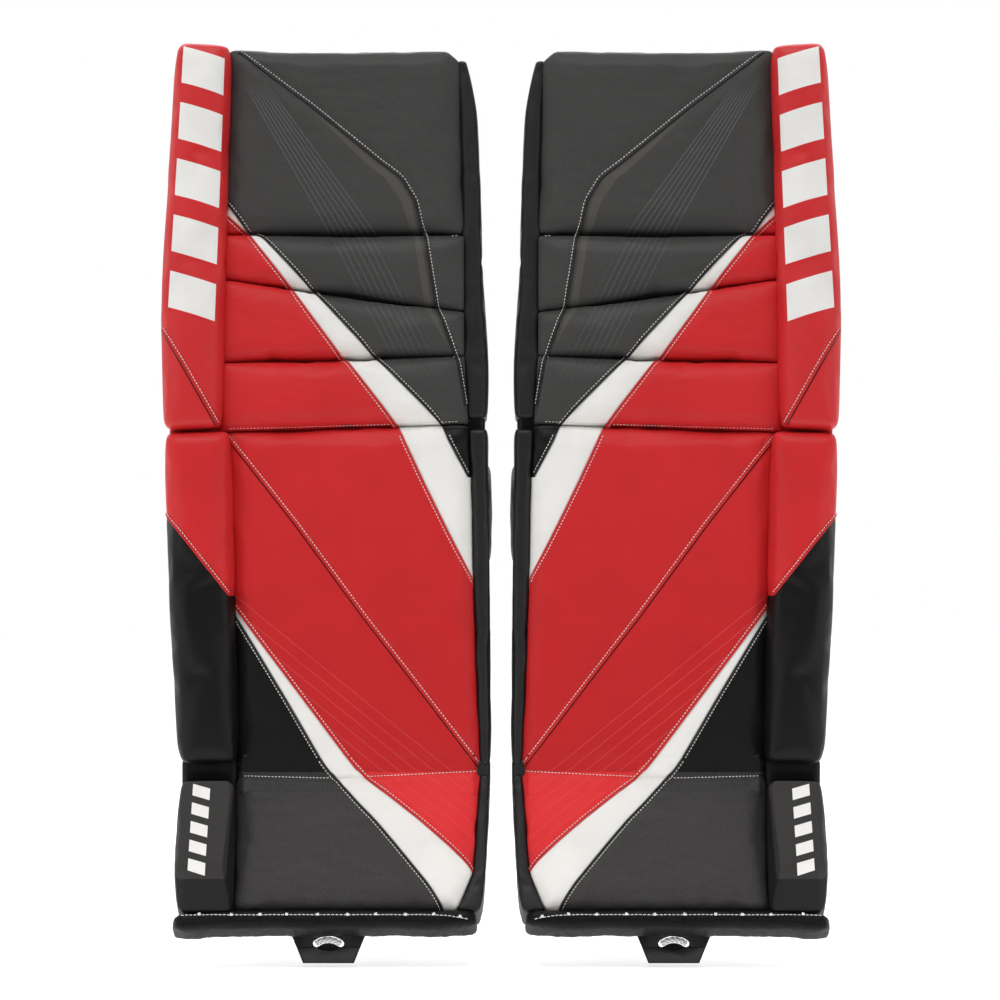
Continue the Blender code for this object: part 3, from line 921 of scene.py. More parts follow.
def build_roll_laps(forms, materials):
    """The slanting seams across the thigh's and the shin's outer roll."""
    for section, line in (("thigh", ROLL_TUCK), ("shin", ROLL_COLOUR_SEAM)):
        trail = Front([forms[f"{section}_outer_roll"]]).trail(line)
        points, faces, place = swept(trail, lap_section(1))
        mesh = new_mesh("roll_lap", points, faces)
        args = (f"{section}_roll_lap", mesh, section, section, materials["lap_red"], "red_leather")
        place_piece(*args, place=place, blend=KNEE_BLENDS[section])
        stitches = Heap()
        add_stitches(stitches, trail, -0.56 * LAP_WIDTH, 0.42)
        args = (f"{section}_roll_stitches", stitches, section, section, materials["white_thread"])
        place_heap(*args, "white_lace", blend=KNEE_BLENDS[section])


def build_laps(fronts, materials, break_blend):
    """Lapped and topstitched seams over the face, section by section."""
    for section, front in fronts.items():
        stitches = Heap()
        low, high = SEAM_SPAN[section]
        home = "shin" if section == "break" else section
        blend = break_blend if section == "break" else KNEE_BLENDS.get(section)
        for name, (line, edge, finish) in LAPS.items():
            stretch = between_heights(line, low, high)
            if section == "break":
                stretch = [(x, broken_height(z)) for x, z in stretch]
            if len(stretch) < 2 or abs(stretch[0][1] - stretch[-1][1]) < 8:
                continue
            trail = front.trail(stretch)
            points, faces, place = swept(trail, lap_section(edge))
            mesh = new_mesh(name, points, faces)
            args = (f"{section}_{name}", mesh, home, home, materials[finish], LAP_SLOTS[finish])
            place_piece(*args, place=place, blend=blend)
            add_stitches(stitches, trail, -edge * 0.56 * LAP_WIDTH, 0.42)
        if section == "break":
            add_stitches(stitches, front.trail(BREAK_ROW), 0.0, 0.2)
        if section == "thigh":
            add_stitches(stitches, front.trail(KNEE_ROWS[0]), 0.0, -0.1)
            for row in (KNEE_ROWS[1], *CREASE_ROWS):
                add_stitches(stitches, front.trail(row), 0.0, 0.2)
        args = (f"{section}_stitches", stitches, home, home, materials["white_thread"], "white_lace")
        place_heap(*args, blend=blend)


# The boot break

BREAK_ROW = [(-76, -299.3), (0, -301.2), (36, -299.8), (130, -295.2)]
KNEE_ROWS = [[(-89, 1.6), (58, 6.3)], [(60, 6.6), (114, 8.2)]]
CREASE_ROWS = [[(103.5, 171.2), (115, 171.2)], [(105, 64.6), (116, 64.9)]]
BOOT_PIVOT_Z = -298.6


def broken_height(z):
    """Height, in the shin's frame, of a height on the boot's face."""
    return float(np.interp(z, [-330, -302.5, -294, 0], [-324.0, -298.2, -294, 0]))


def surface_depths(front, columns, height, section="shin"):
    """Depth, in the shin's frame, of a section's front at one height, for a row of x."""
    change = TO_WORLD["shin"].inverted() @ TO_WORLD[section]
    back = change.inverted()
    depths = []
    for x in columns:
        start = back @ (Vector((x, -300, height)) * MM)
        aim = back.to_3x3() @ Vector((0, 1, 0))
        hit = front.tree.ray_cast(start / MM, aim)[0]
        depths.append((change @ (hit * MM)).y / MM if hit else FACE_FRONT)
    return eased(np.array(depths), 3)


def build_boot_break(materials, blend, shin_front, boot_front):
    """The face's leather where it carries on over the boot break, in a shallow fold."""
    columns = np.linspace(-79.0, 129.6, 130)
    rows = np.linspace(-315.5, -280.5, 44)
    x, z = np.meshgrid(columns, rows)
    inner = np.clip(columns, -68, 119)
    high, higher = (surface_depths(shin_front, inner, height) for height in (-283, -277))
    low, lower = (surface_depths(boot_front, inner, height, "boot") for height in (-313, -319))
    shin_plane = high + (z + 283) * np.clip((higher - high) / 6, -0.05, 0.05)
    boot_plane = low + (z + 313) * np.clip((low - lower) / 6, 0.25, 0.5)
    soft = 0.8
    y = -soft * np.log(np.exp(-(shin_plane + 125) / soft) + np.exp(-(boot_plane + 125) / soft)) - 125
    middle = np.interp(x, *zip(*BOOT_FOLD)) - 0.6
    fold = np.exp(-(((z - middle) / 2.2) ** 2))
    ends = ramp(z, -283.5, -280.5) + ramp(-z, 312.0, 315.5)
    rim = ramp(-x, 73.0, 79.0) ** 2 + ramp(x, 124.0, 129.6) ** 2
    pucker = 0.5 * np.cos((x + 3 * np.sin(x * 0.13)) * 0.55) * np.exp(-(((z - middle) / 6) ** 2))
    y = y + fold * 1.9 + ends * 1.4 + rim * 7.0 + pucker * (1 - fold) - 0.15
    front = np.stack([x, y, z], -1)
    back = front + (0, 1.4, 0)
    height, width = x.shape
    points = np.concatenate([front.reshape(-1, 3), back.reshape(-1, 3)])
    half = height * width
    faces = []
    for row in range(height - 1):
        for step in range(width - 1):
            corner = row * width + step
            face = (corner, corner + 1, corner + width + 1, corner + width)
            faces.append(face)
            faces.append(tuple(half + index for index in reversed(face)))
    rim_loop = [*range(width - 1), *range(width - 1, half - 1, width), *range(half - 1, half - width, -1)]
    rim_loop += [*range(half - width, 0, -width)]
    for this, after in zip(rim_loop, rim_loop[1:] + rim_loop[:1]):
        faces.append((this, half + this, half + after, after))
    mesh = new_mesh("boot_break", points, faces)
    place = points.copy()
    place[:, 2] = np.interp(points[:, 2], [-324.0, -298.2, -294, 0], [-330, -302.5, -294, 0])
    paint_seams(mesh, place)
    surface = Front([mesh])
    args = ("boot_break", mesh, "shin", "shin", materials["face"], "red_leather")
    place_piece(*args, place=place, blend=blend)
    return surface


def build_seam_cores(materials):
    """Padding at the bottom of the upright seams, between the face and the pieces beside it."""
    for section, low, high in (("thigh", 9, 331), ("shin", -294, -3), ("boot", -424, -304)):
        for name, line, width in (("roll", ROLL_SEAM, 4.0), ("edge", EDGE_SEAM, 3.4)):
            top = high if name == "roll" else min(high, 316)
            heights = np.arange(low, top, 4.0)
            middle = across_at(line, heights)
            front = -113.0 if name == "roll" else -112.0
            flank = front + 3
            ring = np.array([(-width, -76), (width, -76), (width, flank), (0, front), (-width, flank)])
            points = np.zeros((len(heights), len(ring), 3))
            points[:, :, 0] = middle[:, None] + ring[None, :, 0]
            points[:, :, 1] = ring[None, :, 1]
            points[:, :, 2] = heights[:, None]
            mesh = new_mesh(name, points.reshape(-1, 3), strip_faces(len(heights), len(ring)))
            paint_seams(mesh, read_points(mesh) - (6, 0, 0))
            finish = "face" if name == "roll" else "edge"
            args = (f"{section}_{name}_core", mesh, section, section, materials[finish], "black_leather")
            place_piece(*args)


def rounded_box(low, high, rim):
    """A box with rounded edges, as a mesh in millimetres."""
    box = bmesh.new()
    bmesh.ops.create_cube(box, size=1)
    size = Vector(high) - Vector(low)
    for vertex in box.verts:
        vertex.co = (Vector(low) + (vertex.co + Vector((0.5, 0.5, 0.5))) * size) * MM
    bmesh.ops.bevel(box, geom=box.edges[:], offset=rim * MM, segments=4, profile=0.5, affect="EDGES")
    mesh = bpy.data.meshes.new("box")
    box.to_mesh(mesh)
    box.free()
    return mesh


# Soft cores of the breaks: low and high corners, and finish.
KNEE_GUSSETS = {
    "knee_gusset": ((-92, -106, -9), (118, -80, 16), "face"),
    "knee_roll_gusset": ((-139, -118, -10), (-90, -78, 12), "lap_red"),
    "knee_edge_gusset": ((114, -108, -8), (136, -78, 18), "edge"),
}
BOOT_GUSSETS = {
    "boot_gusset": ((-80, -112, -312), (129, -80, -286), "smooth"),
    "boot_roll_gusset": ((-128, -122, -311), (-79, -78, -284), "smooth"),
    "boot_edge_gusset": ((122, -119, -313), (140.6, -78, -285), "edge"),
}


def build_gussets(materials):
    """Soft cores that close the knee and boot breaks behind the leather."""
    breaks = (
        (KNEE_GUSSETS, ("shin", "thigh", *KNEE_SPAN)),
        (BOOT_GUSSETS, ("shin", "boot", *joint_span("right_boot_flex", -14, 12))),
    )
    for gussets, blend in breaks:
        for name, (low, high, finish) in gussets.items():
            remesh = ("REMESH", {"mode": "VOXEL", "voxel_size": 3 * MM})
            mesh = with_modifiers(rounded_box(low, high, 3), remesh)
            if finish == "face":
                paint_seams(mesh)
            slot = "red_leather" if finish == "lap_red" else "black_leather"
            place_piece(name, mesh, "shin", "shin", materials[finish], slot, blend=blend)


# Lacing, toe bridge, straps

LACING = [
    (-131.5, -431.2), (-110.2, -430.0), (-82.5, -430.4), (-57.9, -430.3), (-34.8, -430.1), (-8.2, -430.2),
    (17.7, -430.3), (41.9, -430.0), (67.7, -430.3), (91.9, -429.9), (114.7, -432.0), (124.5, -435.5),
]


def tube(path, radius, spacing, sides=10, lobes=2, twist=0.9, depth=0.2, squash=1.0):
    """A laid cord along a path: a closed tube whose lobes wind around it."""
    path = np.array(path, float)
    runs = np.r_[0, np.cumsum(np.linalg.norm(np.diff(path, axis=0), axis=1))]
    steps = np.linspace(0, runs[-1], max(int(runs[-1] / spacing), 3))
    centre = np.stack([np.interp(steps, runs, path[:, axis]) for axis in range(3)], 1)
    centre = eased(centre, max(int(1.5 / spacing), 1))
    trail = Trail(centre, np.tile([0.0, -1.0, 0.0], (len(centre), 1)))
    angles = np.arange(sides) * 2 * math.pi / sides
    wide = radius * (1 + depth * np.cos(lobes * (angles[None] - twist * steps[:, None] / radius)))
    points = (
        centre[:, None]
        + trail.across[:, None] * (np.cos(angles)[None] * wide)[:, :, None]
        + trail.out[:, None] * (np.sin(angles)[None] * wide * squash)[:, :, None]
    )
    place = np.zeros(points.shape)
    place[..., 0] = steps[:, None]
    place[..., 2] = angles[None] * radius
    return points.reshape(-1, 3), strip_faces(len(steps), sides), place.reshape(-1, 3)


def bead(centre, size, rows=8, sides=12):
    """A small knot, drawn tight across its middle."""
    levels = np.linspace(0, math.pi, rows + 1)[1:-1]
    angles = np.arange(sides) * 2 * math.pi / sides
    waist = 1 - 0.22 * np.exp(-((levels - math.pi / 2) / 0.3) ** 2)
    x = -np.cos(levels)[:, None] * np.ones(sides)
    y = (np.sin(levels) * waist)[:, None] * np.cos(angles)
    z = (np.sin(levels) * waist)[:, None] * np.sin(angles)
    points = [(-1, 0, 0), *np.stack([x, y, z], -1).reshape(-1, 3), (1, 0, 0)]
    faces = [(0, 1 + (step + 1) % sides, 1 + step) for step in range(sides)]
    for row in range(len(levels) - 1):
        for step in range(sides):
            following = (step + 1) % sides
            low, high = 1 + row * sides, 1 + (row + 1) * sides
            faces.append((low + step, low + following, high + following, high + step))
    last = 1 + (len(levels) - 1) * sides
    faces += [(last + step, last + (step + 1) % sides, len(points) - 1) for step in range(sides)]
    points = np.array(points) * size + centre
    return points, faces, points


def build_edge_lacing(materials):
    """The waxed lace that closes the bottom binding, knotted at each of its holes."""
    heap = Heap()
    path = []
    for (x, z), (after_x, after_z) in zip(LACING, LACING[1:]):
        path.append((x, -129.9, z))
        middle = (x + after_x) / 2
        path.append((middle, -129.2, (z + after_z) / 2 - 0.35))
    path.append((LACING[-1][0], -129.2, LACING[-1][1]))
    run = Trail(eased(np.array(path), 1), np.tile([0.0, -1.0, 0.0], (len(path), 1)))
    add_stitches(heap, run, 0.0, 0.1, 2.7, 0.9, 0.34)
    for index, (x, z) in enumerate(LACING[:-1]):
        heap.add(*bead((x, -130.4, z), (1.45, 1.25, 1.4)))
        lean = 0.7 if index % 2 else -0.7
        tail = [(x, -129.9, z + 0.4), (x + lean * 0.6, -129.4, z + 1.4), (x + lean, -127.2, z + 2.1)]
        heap.add(*tube(tail, 0.4, 0.4))
    place_heap("edge_lacing", heap, "boot", "boot", materials["lace"], "white_lace", ("edge_lacing",))


def crisp(mesh, rim, segments=3):
    """A CAD form with its edges rounded, and flat faces that shade flat."""
    return with_modifiers(
        mesh,
        ("BEVEL", {"width": rim * MM, "segments": segments, "limit_method": "ANGLE", "angle_limit": 0.5}),
        ("WEIGHTED_NORMAL", {"keep_sharp": False}),
    )


def build_toe_bridge(materials):
    """The toe bridge: a hard plate with an arched slot, a raised lip, and a lace wound through the slot."""
    plate = crisp(cad_form("toe_bridge", "shin", False), 0.7)
    points = read_points(plate)
    front, top = points[:, 1].min(), points[:, 2].max()
    pin = Vector(JOINTS["right_toe_bridge_swing"]["pos_m"]) / MM
    slot_z = pin.z - FLAT_DATUM - 21.5
    args = ("toe_bridge", plate, "shin", "toe_bridge_plate", materials["plastic"], "bridge_plastic")
    place_piece(*args, ("toe_bridge",))

    high, low = slot_z + 10.2, slot_z - 3.1
    arch = [(x, high - 3.0 * (1 - (x / 11.0) ** 2)) for x in np.linspace(11.0, -11.0, 13)]
    ring = [(20.6, low), (26.2, high), *arch, (-26.2, high), (-20.6, low)]
    count = len(ring)
    points = [(x, front - 0.75, z) for x, z in ring] + [(x, front + 0.4, z) for x, z in ring]
    faces = [tuple(range(count)), tuple(range(2 * count - 1, count - 1, -1))]
    faces += [(step, count + step, count + (step + 1) % count, (step + 1) % count) for step in range(count)]
    lip = new_mesh("lip", points, faces)
    shape = bmesh.new()
    shape.from_mesh(lip)
    bmesh.ops.recalc_face_normals(shape, faces=shape.faces)
    shape.to_mesh(lip)
    shape.free()
    lip = crisp(lip, 0.3, 2)
    place_piece("toe_bridge_lip", lip, "shin", "toe_bridge_plate", materials["lip"], "bridge_plastic")

    angles = np.radians(90 + np.linspace(38.5, -38.5, 40))
    lift = 1.1 * np.sin(np.linspace(0, math.pi, 40)) ** 0.4
    path = np.stack([17.1 * np.cos(angles), front - 0.2 - lift, slot_z + 17.1 * np.sin(angles)], 1)
    points, faces, place = tube(path, 2.45, 0.3, 24, 4, 0.9, 0.09, 0.8)
    args = ("toe_lace", new_mesh("toe_lace", points, faces), "shin", "toe_bridge_plate", materials["wrapped"])
    place_piece(*args, "white_lace", ("toe_lace",), place=place)


def sewn_box(low, high):
    """Corners of a sewn box with a cross in it."""
    (left, bottom), (right, top) = low, high
    return [
        (left, bottom), (right, bottom), (right, top), (left, top),
        (left, bottom), (right, top), (right, bottom), (left, top),
    ]


# Rows of stitches on the straps: corners as (degrees, z) around an upright axis, and that axis.
STRAP_SEAMS = {
    "knee_strap": [
        (sewn_box((120, -85), (137, -55)), (0, 0)), ([(65, -86), (118, -86)], (0, 0)),
        ([(65, -54), (118, -54)], (0, 0)),
    ],
    "calf_strap": [
        (sewn_box((120, -213), (137, -171)), (0, 0)), ([(55, -214), (118, -214)], (0, 0)),
        ([(55, -170), (118, -170)], (0, 0)),
    ],
    "boot_strap": [([(20, -369.5), (160, -369.5)], (0, -10)), ([(20, -347.5), (160, -347.5)], (0, -10))],
}


def build_straps(materials):
    """Leg straps and the boot strap: webbing with rounded edges, sewn at its ends."""
    for name, section, body in (
        ("knee_strap", "shin", "shin"),
        ("calf_strap", "shin", "shin"),
        ("boot_strap", "boot", "boot_strap_loop"),
    ):
        mesh = crisp(cad_form(name, section, False), 0.8)
        points = read_points(mesh)
        run = np.degrees(np.arctan2(points[:, 1], points[:, 0])) * 1.36
        place = np.stack([run, points[:, 1] * 0, points[:, 2]], 1)
        surface = Front([mesh])
        seam = Heap()
        for corners, origin in STRAP_SEAMS[name]:
            add_stitches(seam, surface.trail(corners, origin, round_corners=0), 0.0, 0.15, 2.4, 1.0, 0.42)
        place_heap(f"{name}_stitches", seam, section, body, materials["grey_thread"], "white_lace")
        place_piece(name, mesh, section, body, materials["webbing"], "webbing", (name,), place=place)


BINDING = [(0.2, -0.4), (0.2, 0.55), (1.0, 0.85), (4.2, 0.85), (5.0, 0.5), (5.0, -0.4)][::-1]


def board_border(points):
    """Trails along the four sides of a board's back, a little inside its outline."""
    high = points[:, 2].max() - 2.5
    low = points[:, 2].min() + 2.5
    trails = []
    heights = np.linspace(low, high - 8, 60)
    for side in (-1, 1):
        line = ROLL_SEAM if side < 0 else EDGE_SEAM
        x = across_at(line, heights)
        path = np.stack([x - side * 1.4, np.full(60, BOARD_BACK), heights], 1)
        path = path if side > 0 else path[::-1]
        trails.append(Trail(path, np.tile([0.0, 1.0, 0.0], (60, 1))))
    for height, turn in ((low, 1), (high, -1)):
        ends = [across_at(line, height) for line in (ROLL_SEAM, EDGE_SEAM)]
        x = np.linspace(ends[0] + 1.4, ends[1] - (9 if turn < 0 and high > 300 else 1.4), 60)[::turn]
        path = np.stack([x, np.full(60, BOARD_BACK), np.full(60, height)], 1)
        trails.append(Trail(path, np.tile([0.0, 1.0, 0.0], (60, 1))))
    return trails


def build_back(materials):
    """The boards behind the pad, and the linings that the leg and the skate rest in."""
    for name, section in (("thigh_board", "thigh"), ("shin_board", "shin")):
        mesh = crisp(cad_form(name, section, False), 1.6)
        points = read_points(mesh)
        beyond = (points[:, 0] - 97).clip(0)
        points[:, 2] -= ramp(points[:, 2], 330, 338) * (4.5 + beyond * 0.62)
        at_knee = np.abs(points[:, 2] - 3) < 14
        points[:, 2] += at_knee * (1.6 if section == "thigh" else -1.6)
        write_points(mesh, points)
        heap, seam = Heap(), Heap()
        for trail in board_border(points):
            heap.add(*swept(trail, BINDING))
            add_stitches(seam, trail, 2.2, 0.75)
        place_heap(f"{name}_binding", heap, section, section, materials["bound"], "black_leather")
        place_heap(f"{name}_stitches", seam, section, section, materials["grey_thread"], "white_lace")
        place_piece(name, mesh, section, section, materials["nylon"], "board", (name,))
    for name, section in (("leg_channel", "shin"), ("boot_cradle", "boot")):
        mesh = subdivided(remeshed(cad_form(name, section, False), 3.2, 5))
        points = read_points(mesh)
        normals = read_normals(mesh)
        around = np.degrees(np.arctan2(points[:, 1], points[:, 0])) * 1.2
        quilt = np.minimum(
            np.abs(((around + points[:, 2]) / 34.0) % 1 - 0.5),
            np.abs(((around - points[:, 2]) / 34.0) % 1 - 0.5),
        )
        low, high = points.min(0), points.max(0)
        rim = ramp(points[:, 2], low[2] + 3, low[2] + 14) * ramp(-points[:, 2], -high[2] + 3, -high[2] + 14)
        rim *= ramp(-points[:, 1], -high[1] + 3, -high[1] + 12)
        groove = np.exp(-((quilt * 34.0 / 3.4) ** 2)) * rim
        write_points(mesh, points - normals * (groove * 1.3)[:, None])
        place = np.stack([around, points[:, 1] * 0, points[:, 2]], 1)
        place_piece(name, mesh, section, section, materials["knit"], "liner", (name,), 0.7, place=place)


# Padding

# Panels of the face: section, body, CAD nodes, whether to close the back, inset, cap on swelling, slot.
FACES = {
    "thigh_cover": ("thigh", "thigh", ("thigh_cover", "thigh_foam"), True, 0.3, 2.6, "black_leather"),
    "top_knee_roll": ("thigh", "thigh", ("top_knee_roll",), False, 0.5, 3.6, "black_leather"),
    "middle_knee_roll": ("thigh", "thigh", ("middle_knee_roll",), False, 0.5, 3.6, "red_leather"),
    "lower_knee_roll": ("thigh", "thigh", ("lower_knee_roll",), False, 0.5, 3.6, "red_leather"),
    "shin_cover": ("shin", "shin", ("shin_cover", "shin_foam"), True, 0.3, 2.2, "red_leather"),
    "boot_cover": ("boot", "boot", ("boot_cover", "boot_foam"), True, 0.3, 2.6, "black_leather"),
}
# Pieces beside and behind the face: section, body, material, slot, inset, cap on swelling.
SIDES_AND_BACK = {
    "thigh_outer_roll": ("thigh", "thigh", "roll", "red_leather", 0.3, 2.2),
    "shin_outer_roll": ("shin", "shin", "shin_roll", "red_leather", 0.3, 2.2),
    "boot_outer_roll": ("boot", "boot", "bump", "black_leather", 0.2, 1.1),
    "thigh_inner_edge": ("thigh", "thigh", "edge", "black_leather", 0.3, 1.4),
    "shin_inner_edge": ("shin", "shin", "edge", "black_leather", 0.3, 1.4),
    "boot_inner_edge": ("boot", "boot", "edge", "black_leather", 0.3, 1.4),
    "knee_block": ("shin", "shin", "smooth", "black_leather", 1.5, 3.5),
    "calf_block": ("shin", "shin", "smooth", "black_leather", 1.5, 3.5),
    "knee_wing": ("shin", "knee_wing_flap", "edge", "black_leather", 1.6, 1.8),
    "calf_wing": ("shin", "calf_wing_flap", "edge", "black_leather", 1.6, 1.8),
    "bottom_roll": ("boot", "boot", "bound", "black_leather", 0.4, 1.8),
}
VOXEL = 5.0
# name: voxel size and smoothing of the thin pieces
FINER = {
    "boot_outer_roll": (2.8, 2), "bottom_roll": (2.4, 4), "knee_wing": (3.5, 4), "calf_wing": (3.5, 4),
    "thigh_inner_edge": (3.0, 2), "shin_inner_edge": (3.0, 2), "boot_inner_edge": (3.0, 2),
}


def start_swellings():
    swellings = {}
    for name, (section, _, _, hull, inset, cap, _) in FACES.items():
        voxel = 3.4 if "roll" in name else VOXEL
        mesh = shrunk(remeshed(cad_form(name, section, hull), voxel, 3), inset)
        pins = read_points(mesh)[:, 1] > -90
        swellings[name] = Swelling(mesh, pins, 3.0, cap)
    for name, (section, _, _, _, inset, cap) in SIDES_AND_BACK.items():
        voxel, smoothing = FINER.get(name, (VOXEL, 3))
        mesh = shrunk(remeshed(cad_form(name, section, False), voxel, smoothing), inset)
        points = read_points(mesh)
        pins = np.zeros(len(points), bool)
        if "wing" in name or "block" in name:
            pins = points[:, 1] < points[:, 1].min() + 8
        elif name != "bottom_roll":
            pins = points[:, 1] > -80
        swellings[name] = Swelling(mesh, pins, 3.0, cap)
    return swellings


def sculpt_face(name, mesh):
    """Seam valleys, creases and puckers of one panel of the face."""
    points = read_points(mesh)
    normals = read_normals(mesh)
    front = ramp(-normals[:, 1], 0.1, 0.6)
    push = np.zeros(len(points))
    for line, depth, width in (
        (GREY_SEAM, 1.5, 6.0),
        (BLACK_SEAM, 1.3, 5.0),
        (RED_SEAM, 1.3, 5.0),
        (SHIN_SEAM, 1.5, 6.0),
        (LOWER_RED_SEAM, 1.3, 5.0),
        (LOWER_BLACK_SEAM, 1.3, 5.0),
    ):
        push += depth * np.exp(-((distance_to(line, points) / width) ** 2))
    sizes = {"thigh_cover": (60, 1.1), "shin_cover": (90, 0.5), "boot_cover": (45, 1.0)}
    size, amount = sizes.get(name, (40, 0.6))
    push += amount * noise_at(points, size, 1)
    push += 0.35 * noise_at(points * (1, 1, 2.2), 14, 2)
    if name == "boot_cover":
        low = np.exp(-((points[:, 2] + 423) / 11).clip(0) ** 1.2)
        push += low * (1.6 + 1.5 * np.cos(points[:, 0] * 2 * math.pi / 24.5))
    points[:, 1] += front * push
    fill_room(points)
    if name == "thigh_cover":
        beyond = (points[:, 0] - 102.5).clip(0)
        points[:, 2] -= ramp(points[:, 2], 280, 338) * beyond * 0.85
    write_points(mesh, points)


def fill_room(points):
    """Lets the soft sides of a panel of the face press against its neighbours, in straight creases."""
    x, y, z = points.T
    left, right = across_at(ROLL_SEAM, z) - 0.3, across_at(EDGE_SEAM, z) + 1.2
    x = x - 2.4 * ramp(-x, -left - 15, -left - 2) + 3.0 * ramp(x, right - 18, right - 4)
    points[:, 0] = x.clip(left, right)
    for crease in CREASES:
        level = np.interp(x, *zip(*crease))
        above = z - level
        near = 1 - ramp(np.abs(above), 2, 15)
        clearance, reach = (0.1, 3.4) if crease is CREASES[-1] else (0.05, 1.6)
        side = np.sign(above)
        moved = above - side * reach * near
        moved = np.where(side > 0, moved.clip(clearance), moved.clip(None, -0.1))
        z = np.where(near > 0, level + moved, z)
        roll = np.where(side > 0, 2.4 * np.exp(-np.abs(moved) / 5.5), 0.9 * np.exp(-np.abs(moved) / 3.0))
        points[:, 1] += np.where((near > 0) & (y < -108), roll, 0)
    points[:, 2] = z


def close_break(name, points):
    """Lets the soft ends of the outer roll nearly meet at the knee break."""
    if name == "thigh_outer_roll":
        points[:, 2] -= 1.2 * ramp(-points[:, 2], -24, -4)
        points[:, 0] -= 2.6 * ramp(points[:, 2], 270, 325) * ramp(-points[:, 0], 112, 126)
    if name == "shin_outer_roll":
        points[:, 2] += 3.4 * ramp(points[:, 2], -24, -3) + 4.5 * ramp(-points[:, 2], 262, 288)
    if name in ("thigh_outer_roll", "shin_outer_roll"):
        right = across_at(ROLL_SEAM, points[:, 2]) + 0.6
        points[:, 0] += 2.0 * ramp(points[:, 0], right - 16, right - 3)


def sculpt_bump(points):
    """The boot's outer roll: a low front edge on top, a ridge near its foot, and a slanting inner flank."""
    x, y, z = points.T
    ahead = ramp(-y, 108, 141)
    z = z - 9.0 * ahead * ramp(z, -400, -318)
    slope = -143.0 + (-401.0 - z).clip(0) * 0.66
    y = np.maximum(y, slope)
    edge = np.interp(z, [-430, -401, -318], [-92.5, -91.7, -83.0])
    lean = np.interp(z, [-430, -401, -318], [0.45, 0.66, 0.2])
    x = np.minimum(x, edge + (y + 143.0) * lean)
    inward = np.interp(z, [-424, -410, -395, -345, -318], [3.4, 1.6, 0.8, 2.6, 5.0])
    x = x + inward * ramp(-x, 108, 128)
    points[:] = np.stack([x, y, z], 1)


def sculpt_piece(name, mesh):
    """Creases, folds and rounded corners of the pieces beside and behind the face."""
    points = read_points(mesh)
    normals = read_normals(mesh)
    if name == "bottom_roll":
        x, y, z = points.T
        middle = -432.7
        from_end = np.minimum(x - x.min(), x.max() - x).clip(0)
        round_end = np.sqrt(1 - (1 - (from_end / 11.0).clip(0, 1)) ** 2)
        z = middle + (z - middle) * (0.18 + 0.82 * round_end) - 0.8 * (1 - round_end)
        y = np.where(y < -107, -107 + (y + 107) * (0.45 + 0.55 * round_end), y)
        sag = noise_at(np.stack([x, x * 0, x * 0], 1), 26, 4)
        z = z + (z > middle) * 2.2 + (z < middle) * (sag * 1.5 - 0.3) - 3.2 * ramp(-x, 85, 120)
        x = x + 2.4 * ramp(x, 100, 120)
        wrinkle = noise_at(points * (1, 0.25, 0.6), 5.5, 5) + 0.6 * noise_at(points * (1, 0.3, 1), 2.8, 6)
        points = np.stack([x, y, z], 1) + normals * wrinkle[:, None] * 0.55
    elif name.endswith("edge"):
        points = points + normals * noise_at(points, 24, 7)[:, None] * 0.5
        if name == "thigh_inner_edge":
            rise = ramp(points[:, 2], 282, 322)
            points += np.stack([-3.8 * rise, 0 * rise, 7.5 * rise], 1)
    elif "block" in name or "wing" in name:
        points = points + normals * noise_at(points, 22, 8)[:, None] * 0.8
    else:
        points = points + normals * noise_at(points, 34, 9)[:, None] * 0.4
        close_break(name, points)
    if name == "boot_outer_roll":
        sculpt_bump(points)
    if name == "boot_inner_edge":
        points[:, 0] += 4.0 * ramp(-points[:, 2], 385, 425) * ramp(points[:, 0], 112, 126)
    write_points(mesh, points)


def paint_seams(mesh, place=None):
    points = read_points(mesh) if place is None else place
    upper = [side_of(line, points) for line in (RED_SEAM, BLACK_SEAM, GREY_SEAM)]
    lower = [side_of(line, points) for line in (LOWER_RED_SEAM, LOWER_BLACK_SEAM, SHIN_SEAM)]
    write_attribute(mesh, "upper_seams", np.stack(upper, 1))
    write_attribute(mesh, "lower_seams", np.stack(lower, 1))


def main():
    materials = make_materials()
    swellings = start_swellings()
    swell_all()
    forms = {name: subdivided(swelling.result()) for name, swelling in swellings.items()}
    for name in FACES:
        sculpt_face(name, forms[name])
        paint_seams(forms[name])
    for name in SIDES_AND_BACK:
        sculpt_piece(name, forms[name])
    fronts = {
        section: Front([forms[name] for name, facts in FACES.items() if facts[0] == section])
        for section in TO_WORLD
    }
    break_blend = ("shin", "boot", *joint_span("right_boot_flex", -10, 12))
    fronts["break"] = build_boot_break(materials, break_blend, fronts["shin"], fronts["boot"])
    build_laps(fronts, materials, break_blend)
    build_roll_laps(forms, materials)
    build_edge_lacing(materials)
    build_toe_bridge(materials)
    build_straps(materials)
    build_back(materials)
    build_gussets(materials)
    build_seam_cores(materials)
    for name, (section, body, nodes, _, _, _, slot) in FACES.items():
        blend = KNEE_BLENDS[section] if name in AT_KNEE else None
        place_piece(name, forms[name], section, body, materials["face"], slot, nodes, 0.8, blend=blend)
    for name, (section, body, material, slot, _, _) in SIDES_AND_BACK.items():
        mesh = forms[name]
        if name in ("shin_outer_roll", "thigh_outer_roll"):
            line = ROLL_COLOUR_SEAM if section == "shin" else ROLL_TUCK
            write_attribute(mesh, "roll_seam", side_of(line, read_points(mesh)))
        blend = KNEE_BLENDS[section] if name in AT_KNEE else None
        place_piece(name, mesh, section, body, materials[material], slot, (name,), 0.7, blend=blend)


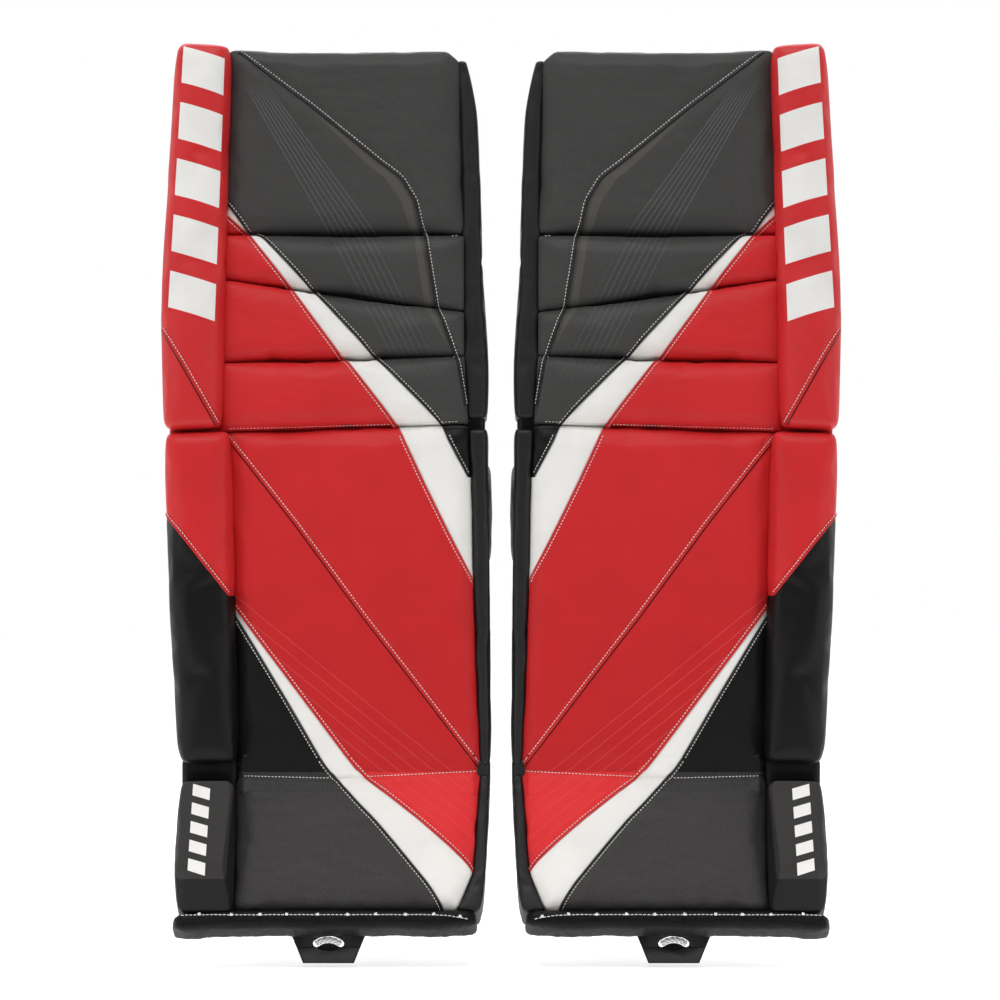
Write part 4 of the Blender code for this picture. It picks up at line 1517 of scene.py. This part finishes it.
def add_area_light(name, location, aim, size, power):
    data = bpy.data.lights.new(name, "AREA")
    data.shape = "RECTANGLE"
    data.size, data.size_y = size
    data.energy = power
    obj = bpy.data.objects.new(name, data)
    bpy.context.scene.collection.objects.link(obj)
    obj.location = location
    obj.rotation_euler = (Vector(aim) - Vector(location)).to_track_quat("-Z", "Y").to_euler()


def build_studio():
    """Camera, lights, world and floor."""
    low, high = (Vector(corner) for corner in cad_box)
    middle = (low + high) / 2
    aim = Vector((0.149, FACE_FRONT * MM, 0.0905))
    distance = 5.0
    camera = bpy.data.cameras.new("camera")
    camera.sensor_width = 36
    camera.lens = 36 * distance / 0.87
    camera.clip_end = 50
    obj = bpy.data.objects.new("camera", camera)
    bpy.context.scene.collection.objects.link(obj)
    obj.location = aim - Vector((0, distance, 0))
    obj.rotation_euler = (math.radians(90), 0, 0)
    bpy.context.scene.camera = obj

    add_area_light("key", middle + Vector((-0.25, -1.7, 2.7)), middle, (2.4, 1.6), 68)
    add_area_light("left_fill", middle + Vector((-2.2, -1.6, 0.3)), middle, (1.2, 2.0), 12)
    add_area_light("right_fill", middle + Vector((2.2, -1.6, 0.3)), middle, (1.2, 2.0), 12)
    add_area_light("back_fill", middle + Vector((0, 2.4, 1.6)), middle, (2.4, 1.6), 20)

    world = bpy.data.worlds.new("studio")
    world.use_nodes = True
    bpy.context.scene.world = world
    tree = world.node_tree
    background = tree.nodes["Background"]
    background.inputs["Color"].default_value = (1, 1, 1, 1)
    place = tree.nodes.new("ShaderNodeTexCoord")
    split = tree.nodes.new("ShaderNodeSeparateXYZ")
    shade = tree.nodes.new("ShaderNodeMapRange")
    shade.interpolation_type = "SMOOTHSTEP"
    shade.inputs["From Min"].default_value = -0.35
    shade.inputs["From Max"].default_value = 0.3
    shade.inputs["To Min"].default_value = 0.12
    shade.inputs["To Max"].default_value = 1.0
    tree.links.new(place.outputs["Generated"], split.inputs["Vector"])
    tree.links.new(split.outputs["Y"], shade.inputs["Value"])
    tree.links.new(shade.outputs["Result"], background.inputs["Strength"])

    bpy.context.scene.view_settings.view_transform = "Standard"
    floor = bpy.data.meshes.new("floor")
    size = 12.0
    height = low.z - 0.002
    corners = [(-size, -0.9, height), (size, -0.9, height), (size, size, height), (-size, size, height)]
    floor.from_pydata(corners, [], [(0, 1, 2, 3)])
    obj = bpy.data.objects.new("floor", floor)
    bpy.context.scene.collection.objects.link(obj)
    pale = bpy.data.materials.new("pale_floor")
    pale.use_nodes = True
    shader = pale.node_tree.nodes["Principled BSDF"]
    shader.inputs["Base Color"].default_value = (0.86, 0.86, 0.86, 1)
    shader.inputs["Roughness"].default_value = 0.9
    shader.inputs["Emission Color"].default_value = (1, 1, 1, 1)
    shader.inputs["Emission Strength"].default_value = 0.6
    floor.materials.append(pale)

    wall = bpy.data.meshes.new("backdrop")
    wall.from_pydata([(-60, -14, -20), (60, -14, -20), (60, -14, 40), (-60, -14, 40)], [], [(0, 1, 2, 3)])
    wall.materials.append(pale)
    obj = bpy.data.objects.new("backdrop", wall)
    bpy.context.scene.collection.objects.link(obj)
    obj.visible_diffuse = obj.visible_glossy = obj.visible_shadow = False


main()
build_studio()
